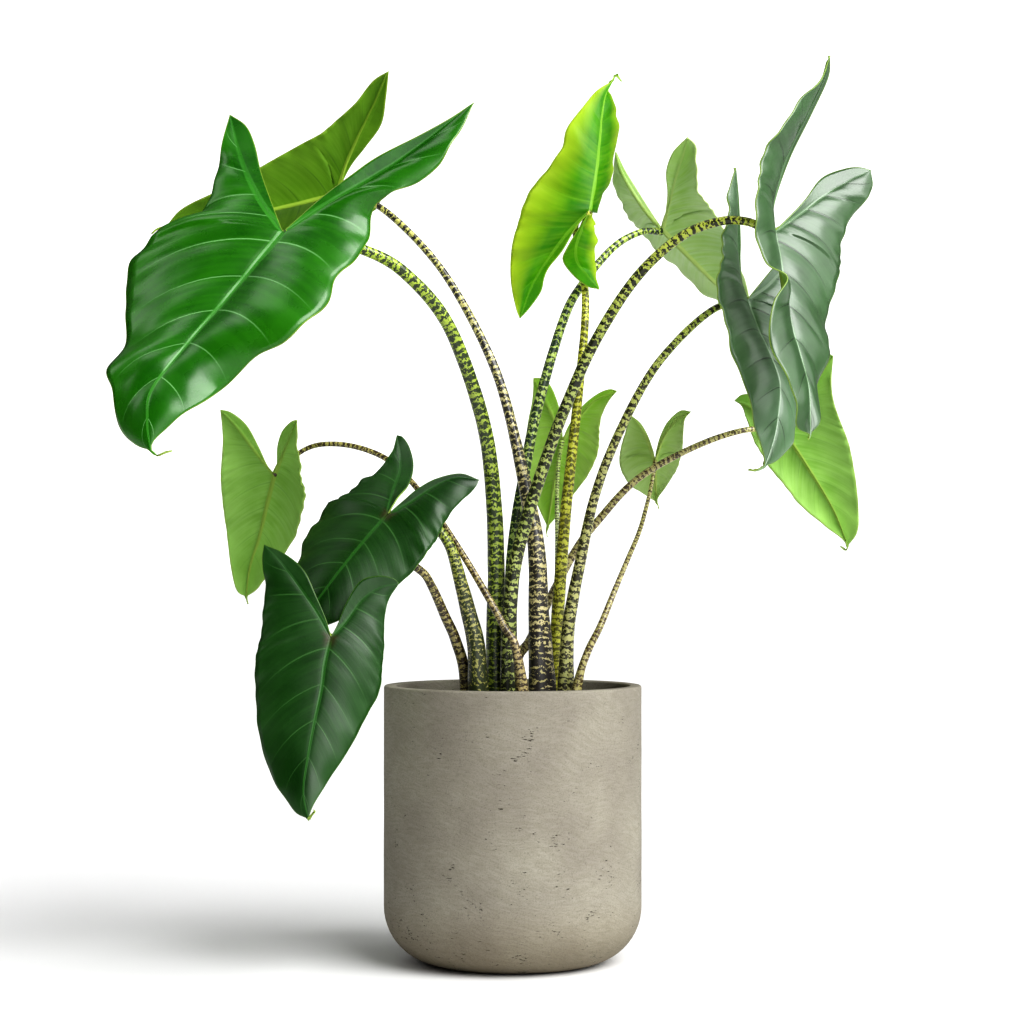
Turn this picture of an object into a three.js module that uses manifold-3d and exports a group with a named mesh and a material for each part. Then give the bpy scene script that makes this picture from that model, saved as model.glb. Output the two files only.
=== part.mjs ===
// Potted zebra-stemmed alocasia: twelve arrow-shaped leaves on long arching stalks,
// growing from soil in a plain fibre-cement pot. Millimetres, +Z up, pot axis on Z, ground at Z = 0.
import * as THREE from 'three';
import { mergeVertices } from 'three/addons/utils/BufferGeometryUtils.js';
import Module from 'manifold-3d';

const manifold = await Module();
manifold.setup();

// Driving dimensions
const POT_DIAMETER = 250;
const POT_HEIGHT = 268;
const POT_WALL = 12;
const POT_FLOOR = 14;
const POT_CORNER = 55;
const RIM_CHAMFER = 2;
const POT_SIDES = 48;
const CORNER_STEPS = 5;

const SOIL_EDGE_HEIGHT = 240;
const SOIL_CROWN_HEIGHT = 249;
const SOIL_RINGS = 5;
const SOIL_LUMP = 1.6; // height of the soil's lumps
const SOIL_LUMP_PITCH = 55; // distance between them

const BLADE_THICKNESS = 1.0;
const RIB_DEPTH = 0.62; // depth of the midrib under the joint, as a share of the stalk's end radius
const ARCH = 0.16; // rise of a blade half between rib and margin, as a share of its width
const VEIN_LEAN = 0.14; // how far side veins start back from their margin end, same share
const MARGIN_SPLIT = 0.38; // share of the outer margin that belongs to the lobe
const ROW_SPACING = 24;
const LEAST_ROWS = 6;
const VEIN_STATIONS = [0, 0.1, 0.4, 0.72, 1]; // 0 on the rib, 1 on the margin
const WAVE_FADE = 0.25; // the margin's waves die out over this stretch before each tip
const SIDE_PHASE = 1.7; // the right margin's waves start this much later than the left's, in radians

const STALK_SIDES = 8;
const STALK_STEP = 36; // spacing of the stalk's rings
const KNUCKLE_LENGTH = 8; // end of the stalk that has grown into the blade
const KNUCKLE_RADIUS = 1.25; // swelling at the joint, as a share of the stalk's end radius
const GAP = 0.3; // clearance between neighbouring pieces

const POT_LOOK = { colour: 0xaca797, roughness: 0.85 };
const SOIL_LOOK = { colour: 0x3a2a1d, roughness: 0.95 };
const STALK_LOOK = { colour: 0x7c8a3c, roughness: 0.5 };
const BLADE_ROUGHNESS = 0.35;

// Each leaf: key points of the blade and its stalk.
// midrib runs from the stalk joint to the front tip, left and right run from a lobe's tip along its
// outer margin, the ribs and the inner edges of the lobes run between the joint and the lobe's tip,
// stalk runs up from the soil, wave is the height, the number and the start of the margin's waves,
// and radii are the stalk's at even steps of its length.
const LEAVES = [
  {
    name: 'leaf_large_left',
    midrib: [
      [-216, -90, 698], [-262, -118, 636], [-300, -150, 585], [-326, -176, 545], [-329, -190, 516],
      [-325, -196, 488],
    ],
    left: [
      [-37, -50, 827], [-49, -64, 798], [-60, -74, 778], [-71, -81, 762], [-89, -83, 746],
      [-122, -84, 730], [-133, -83, 716], [-135, -88, 692], [-148, -110, 666], [-164, -127, 651],
      [-169, -147, 628], [-190, -164, 603], [-208, -168, 587], [-236, -164, 573], [-263, -165, 547],
      [-280, -178, 532], [-297, -186, 521], [-311, -190, 508], [-322, -194, 497],
    ],
    right: [
      [-276, 0, 824], [-281, -18, 795], [-286, -34, 757], [-291, -42, 732], [-309, -46, 715],
      [-335, -52, 706], [-349, -56, 689], [-365, -60, 672], [-366, -74, 645], [-360, -115, 591],
      [-373, -148, 566], [-364, -158, 542], [-357, -168, 510], [-341, -185, 494],
    ],
    leftRib: [[-172, -80, 727], [-107, -66, 769]],
    rightRib: [[-238, -66, 728], [-255, -42, 760], [-267, -20, 791]],
    leftInner: [[-182, -78, 731], [-154, -74, 753], [-128, -70, 772], [-88, -62, 794], [-58, -55, 812]],
    rightInner: [[-228, -66, 727], [-241, -42, 761], [-249, -24, 790], [-259, -10, 811]],
    stalk: [
      [-16, -4, 206], [-17, -4, 312], [-16, -5, 375], [-19, -8, 454], [-30, -15, 528], [-62, -32, 615],
      [-103, -52, 663], [-141, -70, 683], [-182, -82, 691],
    ],
    wave: [2, 2.5, 0.6],
    radii: [10, 8.6, 7, 6, 4],
    colour: 0x2f7d1c,
  },
  {
    name: 'leaf_back_left',
    midrib: [[-177, 80, 757], [-235, 92, 745], [-295, 101, 735], [-353, 110, 728]],
    left: [
      [-123, 45, 875], [-139, 50, 866], [-155, 55, 847], [-171, 61, 833], [-191, 66, 817],
      [-213, 72, 806], [-252, 82, 786], [-280, 88, 770], [-304, 94, 760], [-325, 99, 751],
      [-340, 103, 742],
    ],
    right: [[-90, 160, 814], [-119, 155, 778], [-165, 138, 736], [-251, 132, 717], [-315, 122, 720]],
    leftRib: [[-167, 76, 788], [-153, 66, 816], [-135, 55, 849]],
    rightRib: [[-134, 120, 789]],
    leftInner: [[-163, 76, 784], [-147, 67, 803], [-131, 58, 824], [-126, 50, 849]],
    rightInner: [[-153, 100, 780], [-116, 138, 803]],
    stalk: [
      [30, -2, 206], [26, -2, 273], [25, 0, 331], [24, 4, 389], [17, 10, 438], [-6, 26, 542],
      [-29, 38, 604], [-68, 52, 674], [-112, 66, 725], [-150, 76, 753],
    ],
    wave: [1.5, 2.5, 0],
    radii: [11, 9.4, 5.2, 3.7, 3],
    colour: 0x46661f,
  },
  {
    name: 'leaf_upright_lime',
    midrib: [[77, 20, 733], [84, 35, 780], [91, 65, 845], [101, 75, 871]],
    left: [
      [7, 30, 627], [3, 30, 638], [-2, 30, 665], [-1, 30, 697], [7, 33, 728], [19, 38, 758],
      [34, 40, 776], [49, 38, 798], [54, 42, 818], [70, 56, 841], [84, 66, 859],
    ],
    right: [
      [86, 45, 658], [82, 55, 681], [83, 65, 711], [81, 75, 743], [90, 82, 760], [98, 88, 773],
      [102, 95, 794], [106, 99, 817], [108, 99, 829], [105, 97, 839], [106, 93, 848], [97, 82, 862],
    ],
    leftRib: [[58, 24, 716], [39, 28, 692], [20, 30, 662]],
    rightRib: [[64, 30, 705], [63, 38, 686], [74, 43, 671]],
    leftInner: [[62, 23, 716], [49, 26, 694], [36, 28, 678], [31, 29, 667], [28, 30, 654], [17, 30, 638]],
    rightInner: [[68, 24, 720], [53, 30, 695], [50, 34, 684], [61, 39, 670], [75, 43, 660]],
    stalk: [
      [42, 26, 206], [42, 25, 301], [44, 26, 331], [46, 26, 360], [52, 28, 435], [63, 34, 536],
      [71, 46, 615], [72, 56, 660], [66, 54, 695], [62, 40, 716], [66, 27, 728],
    ],
    wave: [1.5, 3, 1],
    radii: [6.2, 6.3, 5.2, 4, 2.6],
    colour: 0x7fae12,
  },
  {
    name: 'leaf_back_right',
    midrib: [[153, 115, 726], [205, 144, 679], [249, 175, 643]],
    left: [
      [106, 125, 807], [104, 137, 788], [108, 148, 766], [118, 156, 750], [130, 161, 733],
      [148, 166, 715], [166, 172, 698], [188, 179, 680], [208, 182, 663],
    ],
    right: [
      [174, 50, 810], [183, 52, 800], [184, 57, 778], [186, 64, 760], [196, 74, 745], [207, 85, 735],
      [226, 115, 701], [242, 150, 671],
    ],
    leftRib: [[138, 119, 743], [122, 122, 767], [111, 124, 788]],
    rightRib: [[158, 100, 748], [164, 80, 773], [170, 63, 793]],
    leftInner: [[141, 119, 745], [127, 122, 768], [115, 124, 788]],
    rightInner: [[155, 102, 742], [156, 88, 759], [154, 75, 779], [159, 62, 795], [167, 55, 804]],
    stalk: [
      [-8, 22, 206], [-6, 24, 301], [-3, 27, 360], [1, 31, 409], [9, 37, 461], [24, 50, 537],
      [50, 66, 627], [70, 76, 666], [102, 92, 705], [130, 105, 722],
    ],
    wave: [1.5, 2.5, 2],
    radii: [6.5, 5.6, 5.4, 4.5, 3],
    colour: 0x6f9442,
  },
  {
    name: 'leaf_tall_right',
    midrib: [
      [245, -100, 697], [250, -121, 658], [255, -143, 610], [262, -155, 580], [269, -167, 546],
      [269, -180, 503],
    ],
    left: [
      [345, -30, 765], [346, -34, 748], [335, -43, 730], [321, -53, 713], [312, -63, 690],
      [312, -68, 675], [303, -85, 644], [294, -100, 614], [292, -115, 591], [293, -122, 577],
      [283, -135, 557], [279, -155, 536], [279, -172, 515],
    ],
    right: [
      [297, -105, 861], [288, -112, 839], [271, -120, 820], [252, -129, 795], [236, -135, 771],
      [226, -142, 744], [224, -148, 715], [225, -152, 684], [233, -156, 661], [249, -165, 646],
      [237, -175, 622], [233, -182, 599], [237, -186, 572], [250, -189, 545], [256, -190, 530],
      [256, -187, 510],
    ],
    leftRib: [[271, -80, 716], [298, -60, 737], [323, -44, 753]],
    rightRib: [[244, -101, 722], [255, -103, 763], [274, -104, 803], [290, -105, 836]],
    leftInner: [[263, -86, 715], [278, -72, 732], [295, -55, 754], [319, -40, 765], [334, -34, 767]],
    rightInner: [[245, -100, 722], [259, -102, 764], [279, -104, 805], [295, -105, 840]],
    stalk: [
      [-5, -21, 206], [-5, -21, 302], [-2, -22, 351], [3, -23, 389], [15, -25, 434], [32, -29, 486],
      [49, -34, 532], [77, -43, 595], [116, -57, 656], [157, -71, 694], [193, -83, 708], [220, -93, 707],
    ],
    wave: [1.5, 2.5, 0.5],
    radii: [7.5, 6.6, 5.6, 4.9, 3.8],
    colour: 0x4c6b50,
  },
  {
    name: 'leaf_front_right',
    midrib: [
      [226, -30, 640], [234, -45, 612], [246, -58, 583], [253, -69, 557], [251, -78, 531],
      [246, -86, 505], [236, -95, 477],
    ],
    left: [
      [297, 45, 711], [298, 30, 654], [291, 5, 594], [276, -35, 541], [272, -52, 519], [264, -66, 500],
      [250, -84, 484],
    ],
    right: [
      [214, -45, 765], [208, -52, 747], [203, -70, 713], [196, -82, 674], [194, -88, 645],
      [199, -96, 610], [207, -102, 580], [216, -106, 555], [222, -107, 529], [230, -106, 503],
      [235, -101, 487],
    ],
    leftRib: [[247, -14, 655], [271, 8, 681]],
    rightRib: [[219, -33, 660], [215, -38, 692], [215, -42, 730]],
    leftInner: [[239, -20, 656], [259, 0, 680], [280, 25, 701]],
    rightInner: [[221, -32, 656], [219, -35, 678], [219, -38, 696], [217, -42, 734]],
    stalk: [
      [47, -16, 206], [52, -16, 307], [58, -16, 351], [65, -17, 386], [78, -18, 446], [96, -20, 497],
      [128, -23, 561], [159, -26, 601], [194, -29, 631],
    ],
    wave: [1.5, 2.5, 2],
    radii: [6.8, 6.2, 4.6, 4, 3.2],
    colour: 0x4f7050,
  },
  {
    name: 'leaf_low_right',
    midrib: [[270, 85, 523], [295, 97, 488], [325, 114, 442], [342, 125, 403]],
    left: [
      [222, 74, 549], [231, 76, 541], [240, 80, 515], [254, 85, 489], [270, 92, 469], [291, 101, 445],
      [314, 112, 426], [334, 120, 412],
    ],
    right: [
      [320, 62, 593], [319, 68, 569], [321, 72, 551], [328, 80, 532], [339, 92, 507], [347, 103, 475],
      [352, 114, 438], [351, 119, 417],
    ],
    leftRib: [[245, 79, 539]],
    rightRib: [[294, 75, 554]],
    leftInner: [[258, 81, 539], [241, 77, 554], [230, 75, 555]],
    rightInner: [[279, 79, 546], [293, 71, 572], [310, 64, 595]],
    stalk: [
      [1, 38, 206], [3, 38, 285], [17, 42, 310], [36, 48, 349], [62, 54, 398], [83, 56, 426],
      [122, 58, 468], [173, 57, 498], [224, 58, 517],
    ],
    wave: [1.5, 2.5, 1],
    radii: [5, 4.4, 3.9, 3.2, 2.6],
    colour: 0x63902c,
  },
  {
    name: 'leaf_small_back_right',
    midrib: [[144, 100, 491], [146, 133, 471], [149, 165, 449]],
    left: [
      [119, 75, 534], [113, 85, 517], [108, 100, 494], [111, 113, 478], [123, 131, 464], [140, 150, 454],
    ],
    right: [
      [179, 75, 538], [173, 79, 530], [172, 88, 515], [171, 98, 497], [167, 115, 482], [160, 132, 468],
      [152, 152, 456],
    ],
    leftRib: [[135, 88, 513], [126, 81, 526]],
    rightRib: [[152, 88, 513], [165, 81, 530]],
    leftInner: [[142, 95, 500], [137, 90, 511], [129, 82, 526]],
    rightInner: [[145, 95, 500], [149, 90, 513], [156, 84, 528], [168, 78, 539]],
    stalk: [
      [49, -32, 206], [62, -30, 270], [72, -28, 301], [85, -22, 327], [99, -8, 360], [113, 15, 391],
      [125, 40, 417], [134, 68, 444], [141, 92, 470],
    ],
    wave: [1, 2, 0],
    radii: [6, 3.7, 2.7, 2.2, 1.8],
    colour: 0x567a35,
  },
  {
    name: 'leaf_small_back_middle',
    midrib: [[51, 115, 512], [43, 132, 469], [36, 150, 423]],
    left: [
      [21, 90, 573], [20, 100, 552], [15, 109, 526], [12, 118, 496], [17, 130, 466], [26, 140, 444],
      [32, 147, 431],
    ],
    right: [
      [105, 80, 559], [97, 86, 549], [90, 94, 535], [88, 100, 516], [86, 107, 496], [77, 116, 476],
      [63, 127, 457], [49, 140, 438],
    ],
    leftRib: [[37, 102, 542]],
    rightRib: [[65, 105, 530], [82, 92, 549]],
    leftInner: [[50, 108, 526], [47, 101, 544], [39, 93, 564], [30, 91, 572]],
    rightInner: [[57, 108, 526], [70, 99, 544], [85, 90, 556], [97, 83, 561]],
    stalk: [[41, 52, 206], [43, 56, 310], [44, 66, 359], [45, 84, 404], [45, 102, 456], [47, 111, 491]],
    wave: [1, 2, 1],
    radii: [3.5, 2.7, 2.5, 2.3, 2],
    colour: 0x6ba132,
  },
  {
    name: 'leaf_small_left',
    midrib: [[-236, 50, 474], [-245, 62, 443], [-254, 76, 411], [-264, 87, 383], [-269, 95, 352]],
    left: [
      [-287, 20, 537], [-286, 33, 508], [-290, 52, 467], [-287, 72, 421], [-283, 85, 379],
      [-278, 92, 358],
    ],
    right: [
      [-208, -20, 525], [-209, -6, 504], [-207, 12, 475], [-204, 26, 450], [-212, 46, 422],
      [-227, 62, 396], [-248, 80, 371], [-258, 89, 359],
    ],
    leftRib: [[-254, 42, 496], [-271, 31, 519]],
    rightRib: [[-224, 18, 495]],
    leftInner: [[-243, 46, 483], [-251, 40, 501], [-262, 31, 522], [-276, 24, 534]],
    rightInner: [[-232, 38, 484], [-230, 18, 501], [-224, 0, 515], [-215, -14, 523]],
    stalk: [
      [12, -46, 206], [4, -46, 299], [-9, -44, 327], [-22, -40, 351], [-51, -22, 399], [-83, 0, 446],
      [-114, 20, 481], [-142, 32, 497], [-176, 42, 504], [-206, 49, 499],
    ],
    wave: [1, 2.5, 0.4],
    radii: [6.5, 3.7, 3, 2.7, 2.2],
    colour: 0x5f8f38,
  },
  {
    name: 'leaf_dark_middle',
    midrib: [[-119, -60, 433], [-142, -73, 406], [-167, -88, 374], [-201, -98, 326]],
    left: [
      [-32, -50, 466], [-36, -54, 458], [-49, -60, 445], [-61, -66, 431], [-71, -76, 411],
      [-87, -83, 387], [-108, -87, 366], [-133, -92, 349], [-169, -97, 330],
    ],
    right: [
      [-113, 5, 511], [-118, -6, 493], [-131, -10, 477], [-158, -11, 456], [-173, -10, 445],
      [-180, -9, 445], [-189, -12, 429], [-201, -22, 408], [-206, -44, 385], [-208, -67, 358],
    ],
    leftRib: [[-98, -58, 444], [-77, -55, 458], [-55, -52, 468]],
    rightRib: [[-115, -40, 455], [-109, -15, 480]],
    leftInner: [[-104, -58, 446], [-91, -56, 457], [-73, -54, 467], [-50, -51, 472]],
    rightInner: [[-110, -50, 449], [-100, -32, 462], [-96, -14, 480], [-100, -2, 498], [-107, 3, 509]],
    stalk: [
      [-32, -30, 206], [-34, -30, 288], [-36, -30, 312], [-43, -30, 341], [-50, -31, 368],
      [-61, -32, 404], [-80, -36, 426], [-104, -46, 432],
    ],
    wave: [1.5, 3, 1],
    radii: [10, 9.7, 7.4, 5, 3.2],
    colour: 0x1f4f27,
  },
  {
    name: 'leaf_dark_front',
    midrib: [
      [-167, -140, 319], [-172, -146, 296], [-175, -152, 271], [-181, -161, 240], [-186, -170, 209],
      [-189, -178, 181], [-184, -184, 157],
    ],
    left: [
      [-105, -122, 368], [-114, -123, 354], [-118, -125, 339], [-119, -129, 307], [-122, -136, 272],
      [-133, -143, 248], [-149, -155, 218], [-166, -168, 191], [-179, -179, 170],
    ],
    right: [
      [-232, -104, 404], [-233, -108, 390], [-230, -115, 362], [-232, -122, 330], [-237, -130, 293],
      [-236, -138, 257], [-230, -148, 221], [-221, -158, 196], [-207, -168, 176], [-196, -178, 162],
    ],
    leftRib: [[-153, -134, 334], [-139, -128, 353], [-123, -124, 364]],
    rightRib: [[-180, -134, 341], [-197, -124, 364], [-216, -113, 388]],
    leftInner: [
      [-161, -136, 331], [-153, -130, 351], [-141, -124, 370], [-125, -121, 375], [-111, -121, 373],
    ],
    rightInner: [[-172, -136, 336], [-182, -128, 358], [-194, -119, 381], [-213, -109, 396]],
    stalk: [
      [-43, -14, 206], [-46, -16, 277], [-55, -22, 312], [-65, -26, 335], [-78, -36, 365],
      [-88, -40, 379], [-108, -48, 387], [-136, -60, 366], [-157, -90, 322],
    ],
    wave: [1.5, 2.5, 0],
    radii: [7, 5.4, 4, 3.5, 3],
    colour: 0x174022,
  },
];

// Small helpers
const vector = (point) => new THREE.Vector3(...point);

function smoothCurve(points) {
  return new THREE.CatmullRomCurve3(points, false, 'catmullrom', 0.5);
}

function listValueAt(list, share) {
  const place = Math.min(Math.max(share, 0), 1) * (list.length - 1);
  const index = Math.min(Math.floor(place), list.length - 2);
  return THREE.MathUtils.lerp(list[index], list[index + 1], place - index);
}

function positionsOnly(geometry) {
  const bare = geometry.index ? geometry.clone() : geometry;
  bare.deleteAttribute('normal');
  bare.deleteAttribute('uv');
  return mergeVertices(bare, 1e-4);
}

function toSolid(geometry) {
  const merged = positionsOnly(geometry);
  const mesh = new manifold.Mesh({
    numProp: 3,
    vertProperties: new Float32Array(merged.attributes.position.array),
    triVerts: new Uint32Array(merged.index.array),
  });
  return new manifold.Manifold(mesh);
}

function toGeometry(solid) {
  const mesh = solid.getMesh();
  const geometry = new THREE.BufferGeometry();
  geometry.setAttribute('position', new THREE.BufferAttribute(new Float32Array(mesh.vertProperties), 3));
  geometry.setIndex(new THREE.BufferAttribute(new Uint32Array(mesh.triVerts), 1));
  geometry.computeVertexNormals();
  return geometry;
}

function namedMesh(name, geometry, look) {
  const material = new THREE.MeshStandardMaterial({
    color: look.colour, roughness: look.roughness, metalness: 0,
  });
  const mesh = new THREE.Mesh(geometry, material);
  mesh.name = name;
  return mesh;
}

// A LatheGeometry turns about Y, so it is tipped up to turn about Z.
function latheAboutZ(profile) {
  const points = profile.map(([radius, height]) => new THREE.Vector2(radius, height));
  const geometry = new THREE.LatheGeometry(points, POT_SIDES);
  geometry.rotateX(Math.PI / 2);
  return positionsOnly(geometry);
}

function cornerArc(wallRadius, floorHeight, cornerRadius) {
  const arc = [];
  for (let step = 0; step <= CORNER_STEPS; step += 1) {
    const angle = (step / CORNER_STEPS) * (Math.PI / 2);
    arc.push([
      wallRadius - cornerRadius * (1 - Math.sin(angle)),
      floorHeight + cornerRadius * (1 - Math.cos(angle)),
    ]);
  }
  return arc;
}

// Pot: straight wall, rounded foot, flat base, open at the top
function potGeometry() {
  const outer = POT_DIAMETER / 2;
  const inner = outer - POT_WALL;
  const profile = [
    [0, 0],
    ...cornerArc(outer, 0, POT_CORNER),
    [outer, POT_HEIGHT - RIM_CHAMFER],
    [outer - RIM_CHAMFER, POT_HEIGHT],
    [inner + RIM_CHAMFER, POT_HEIGHT],
    [inner, POT_HEIGHT - RIM_CHAMFER],
    ...cornerArc(inner, POT_FLOOR, POT_CORNER - POT_WALL).reverse(),
    [0, POT_FLOOR],
  ];
  return latheAboutZ(profile);
}

// Soil: fills the pot, slightly mounded and lumpy, with a plain hole for each stalk
function soilGeometry(stalkHoles) {
  const outer = POT_DIAMETER / 2 - POT_WALL - GAP;
  const profile = [[0, POT_FLOOR + GAP], ...cornerArc(outer, POT_FLOOR + GAP, POT_CORNER - POT_WALL)];
  for (let ring = SOIL_RINGS; ring >= 0; ring -= 1) {
    const share = ring / SOIL_RINGS;
    const mound = (SOIL_CROWN_HEIGHT - SOIL_EDGE_HEIGHT) * (1 - share * share);
    profile.push([outer * share, SOIL_EDGE_HEIGHT + mound]);
  }
  const geometry = latheAboutZ(profile);
  const position = geometry.attributes.position;
  for (let i = 0; i < position.count; i += 1) {
    const x = position.getX(i);
    const y = position.getY(i);
    const z = position.getZ(i);
    const isSurface = z > SOIL_EDGE_HEIGHT - 1;
    const turn = (2 * Math.PI) / SOIL_LUMP_PITCH;
    const lump = SOIL_LUMP * Math.sin(turn * x) * Math.cos(turn * y);
    position.setZ(i, isSurface ? z + lump : z);
  }
  let soil = toSolid(geometry);
  for (const hole of stalkHoles) {
    soil = soil.subtract(hole);
  }
  return toGeometry(soil);
}

// Stalk: a round tapering bar along its curve, from one share of the length to another
function stalkGeometry(curve, radii, fromShare, toShare, grow = 0) {
  const length = curve.getLength() * (toShare - fromShare);
  const rings = Math.max(3, Math.round(length / STALK_STEP));
  const geometry = new THREE.CylinderGeometry(1, 1, 1, STALK_SIDES, rings);
  const fine = 4 * rings;
  const frames = curve.computeFrenetFrames(fine);
  const position = geometry.attributes.position;
  for (let i = 0; i < position.count; i += 1) {
    const share = THREE.MathUtils.lerp(fromShare, toShare, position.getY(i) + 0.5);
    const frame = Math.round(share * fine);
    const tangent = curve.getTangentAt(share);
    const across = frames.normals[frame].clone().projectOnPlane(tangent).normalize();
    const beside = tangent.clone().cross(across);
    const radius = listValueAt(radii, share) + grow;
    const point = curve.getPointAt(share);
    point.addScaledVector(across, radius * position.getX(i));
    point.addScaledVector(beside, -radius * position.getZ(i));
    position.setXYZ(i, point.x, point.y, point.z);
  }
  return positionsOnly(geometry);
}

// Blade guides: the ribs and margins that a blade is stretched between
function bladeGuides(leaf) {
  const joint = vector(leaf.midrib[0]);
  const tip = vector(leaf.midrib[leaf.midrib.length - 1]);
  const lobes = [vector(leaf.left[0]), vector(leaf.right[0])];
  const forward = tip.clone().sub(joint);
  const up = forward.clone().cross(lobes[0].clone().sub(lobes[1])).normalize();
  const sides = ['left', 'right'].map((name, index) => {
    const margin = smoothCurve([...leaf[name].map(vector), tip]);
    const rib = smoothCurve([joint, ...leaf[`${name}Rib`].map(vector), lobes[index]]);
    const inner = smoothCurve([joint, ...leaf[`${name}Inner`].map(vector), lobes[index]]);
    return { margin, rib, inner, phase: leaf.wave[2] + SIDE_PHASE * index };
  });
  return { up, sides, midrib: smoothCurve(leaf.midrib.map(vector)), wave: leaf.wave };
}

// station runs from -1 at a lobe's tip over 0 at the joint to 1 at the front tip
function ribPoint(guides, side, station) {
  return station < 0 ? side.rib.getPointAt(-station) : guides.midrib.getPointAt(station);
}

// reach runs from 0 on the rib to 1 on the outer margin
function bladePoint(guides, side, station, reach) {
  const rib = ribPoint(guides, side, station);
  const marginShare = station < 0
    ? MARGIN_SPLIT * (1 + station)
    : MARGIN_SPLIT + (1 - MARGIN_SPLIT) * station;
  const margin = side.margin.getPointAt(marginShare);
  const vein = margin.clone().sub(rib);
  const width = vein.length();
  if (reach === 0 || width < 1e-3) {
    return rib;
  }
  const ribDirection = station < 0
    ? side.rib.getTangentAt(-station).negate()
    : guides.midrib.getTangentAt(station);
  const normal = vein.clone().cross(ribDirection).normalize();
  if (normal.dot(guides.up) < 0) {
    normal.negate();
  }
  const middle = rib.clone().lerp(margin, 0.5)
    .addScaledVector(ribDirection, -width * VEIN_LEAN * (1 - station * station))
    .addScaledVector(normal, width * ARCH);
  const point = new THREE.QuadraticBezierCurve3(rib, middle, margin).getPoint(reach);
  const [height, turns] = guides.wave;
  const fade = Math.min((1 - Math.abs(station)) / WAVE_FADE, 1);
  const ripple = height * fade * Math.sin(2 * Math.PI * turns * station + side.phase) * reach ** 3;
  return point.addScaledVector(normal, ripple);
}

// Vertices that fall on the same place are one vertex.
class Sheet {
  constructor() {
    this.points = [];
    this.ribDepths = [];
    this.triangles = [];
    this.places = new Map();
  }

  vertex(point, ribDepth = 0) {
    const key = point.toArray().map((value) => Math.round(value * 100)).join();
    if (!this.places.has(key)) {
      this.places.set(key, this.points.length);
      this.points.push(point);
      this.ribDepths.push(ribDepth);
    }
    return this.places.get(key);
  }

  triangle(a, b, c) {
    if (a !== b && b !== c && c !== a) {
      this.triangles.push([a, b, c]);
    }
  }

  quad(a, b, c, d) {
    this.triangle(a, b, c);
    this.triangle(a, c, d);
  }

  normals() {
    const sums = this.points.map(() => new THREE.Vector3());
    for (const [a, b, c] of this.triangles) {
      const edge = this.points[b].clone().sub(this.points[a]);
      const cross = edge.cross(this.points[c].clone().sub(this.points[a]));
      [a, b, c].forEach((index) => sums[index].add(cross));
    }
    return sums.map((sum) => sum.normalize());
  }

  // Both faces get the same triangles, and the open edges get a rim.
  thicken(thickness) {
    const normals = this.normals();
    const count = this.points.length;
    const positions = [];
    this.points.forEach((point, i) => {
      positions.push(...point.clone().addScaledVector(normals[i], thickness / 2).toArray());
    });
    this.points.forEach((point, i) => {
      const depth = thickness / 2 + this.ribDepths[i];
      positions.push(...point.clone().addScaledVector(normals[i], -depth).toArray());
    });
    const indices = [];
    const edges = new Set(this.triangles.flatMap(([a, b, c]) => [`${a},${b}`, `${b},${c}`, `${c},${a}`]));
    for (const [a, b, c] of this.triangles) {
      indices.push(a, b, c, a + count, c + count, b + count);
      for (const [from, to] of [[a, b], [b, c], [c, a]]) {
        if (!edges.has(`${to},${from}`)) {
          indices.push(from, from + count, to, to, from + count, to + count);
        }
      }
    }
    const geometry = new THREE.BufferGeometry();
    geometry.setAttribute('position', new THREE.Float32BufferAttribute(positions, 3));
    geometry.setIndex(indices);
    return geometry;
  }
}

function rowCount(length) {
  return Math.max(LEAST_ROWS, Math.round(length / ROW_SPACING));
}

function bladeSheet(leaf) {
  const guides = bladeGuides(leaf);
  const sheet = new Sheet();
  const frontRows = rowCount(guides.midrib.getLength());
  const jointDepth = RIB_DEPTH * leaf.radii[leaf.radii.length - 1];
  guides.sides.forEach((side, index) => {
    const lobeRows = rowCount(side.rib.getLength());
    const rows = [];
    for (let row = -lobeRows; row <= frontRows; row += 1) {
      const station = row < 0 ? row / lobeRows : row / frontRows;
      const ribDepth = jointDepth * (1 - Math.abs(station));
      rows.push(VEIN_STATIONS.map((reach) => {
        return sheet.vertex(bladePoint(guides, side, station, reach), reach === 0 ? ribDepth : 0);
      }));
    }
    const strip = [];
    for (let row = -lobeRows; row <= 0; row += 1) {
      strip.push(sheet.vertex(side.inner.getPointAt(-row / lobeRows)));
    }
    const quad = (a, b, c, d) => (index === 0 ? sheet.quad(a, d, c, b) : sheet.quad(a, b, c, d));
    for (let row = 0; row < rows.length - 1; row += 1) {
      for (let column = 0; column < VEIN_STATIONS.length - 1; column += 1) {
        quad(rows[row][column], rows[row][column + 1], rows[row + 1][column + 1], rows[row + 1][column]);
      }
    }
    for (let row = 0; row < lobeRows; row += 1) {
      quad(strip[row], rows[row][0], rows[row + 1][0], strip[row + 1]);
    }
  });
  return { sheet, up: guides.up };
}

// The stalk meets the blade just under its surface.
function stalkCurve(leaf, up) {
  const endRadius = leaf.radii[leaf.radii.length - 1];
  const end = vector(leaf.midrib[0]).addScaledVector(up, -endRadius);
  return smoothCurve([...leaf.stalk.map(vector), end]);
}

function bladeGeometry(leaf, sheet, curve) {
  const endRadius = leaf.radii[leaf.radii.length - 1];
  const knuckleShare = 1 - KNUCKLE_LENGTH / curve.getLength();
  const swelling = new THREE.SphereGeometry(endRadius * KNUCKLE_RADIUS, STALK_SIDES, STALK_SIDES - 2);
  swelling.translate(...curve.getPointAt(1).toArray());
  const blade = toSolid(sheet.thicken(BLADE_THICKNESS))
    .add(toSolid(stalkGeometry(curve, leaf.radii, knuckleShare, 1)))
    .add(toSolid(swelling));
  return toGeometry(blade);
}

const plant = new THREE.Group();
const stalkHoles = [];

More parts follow.
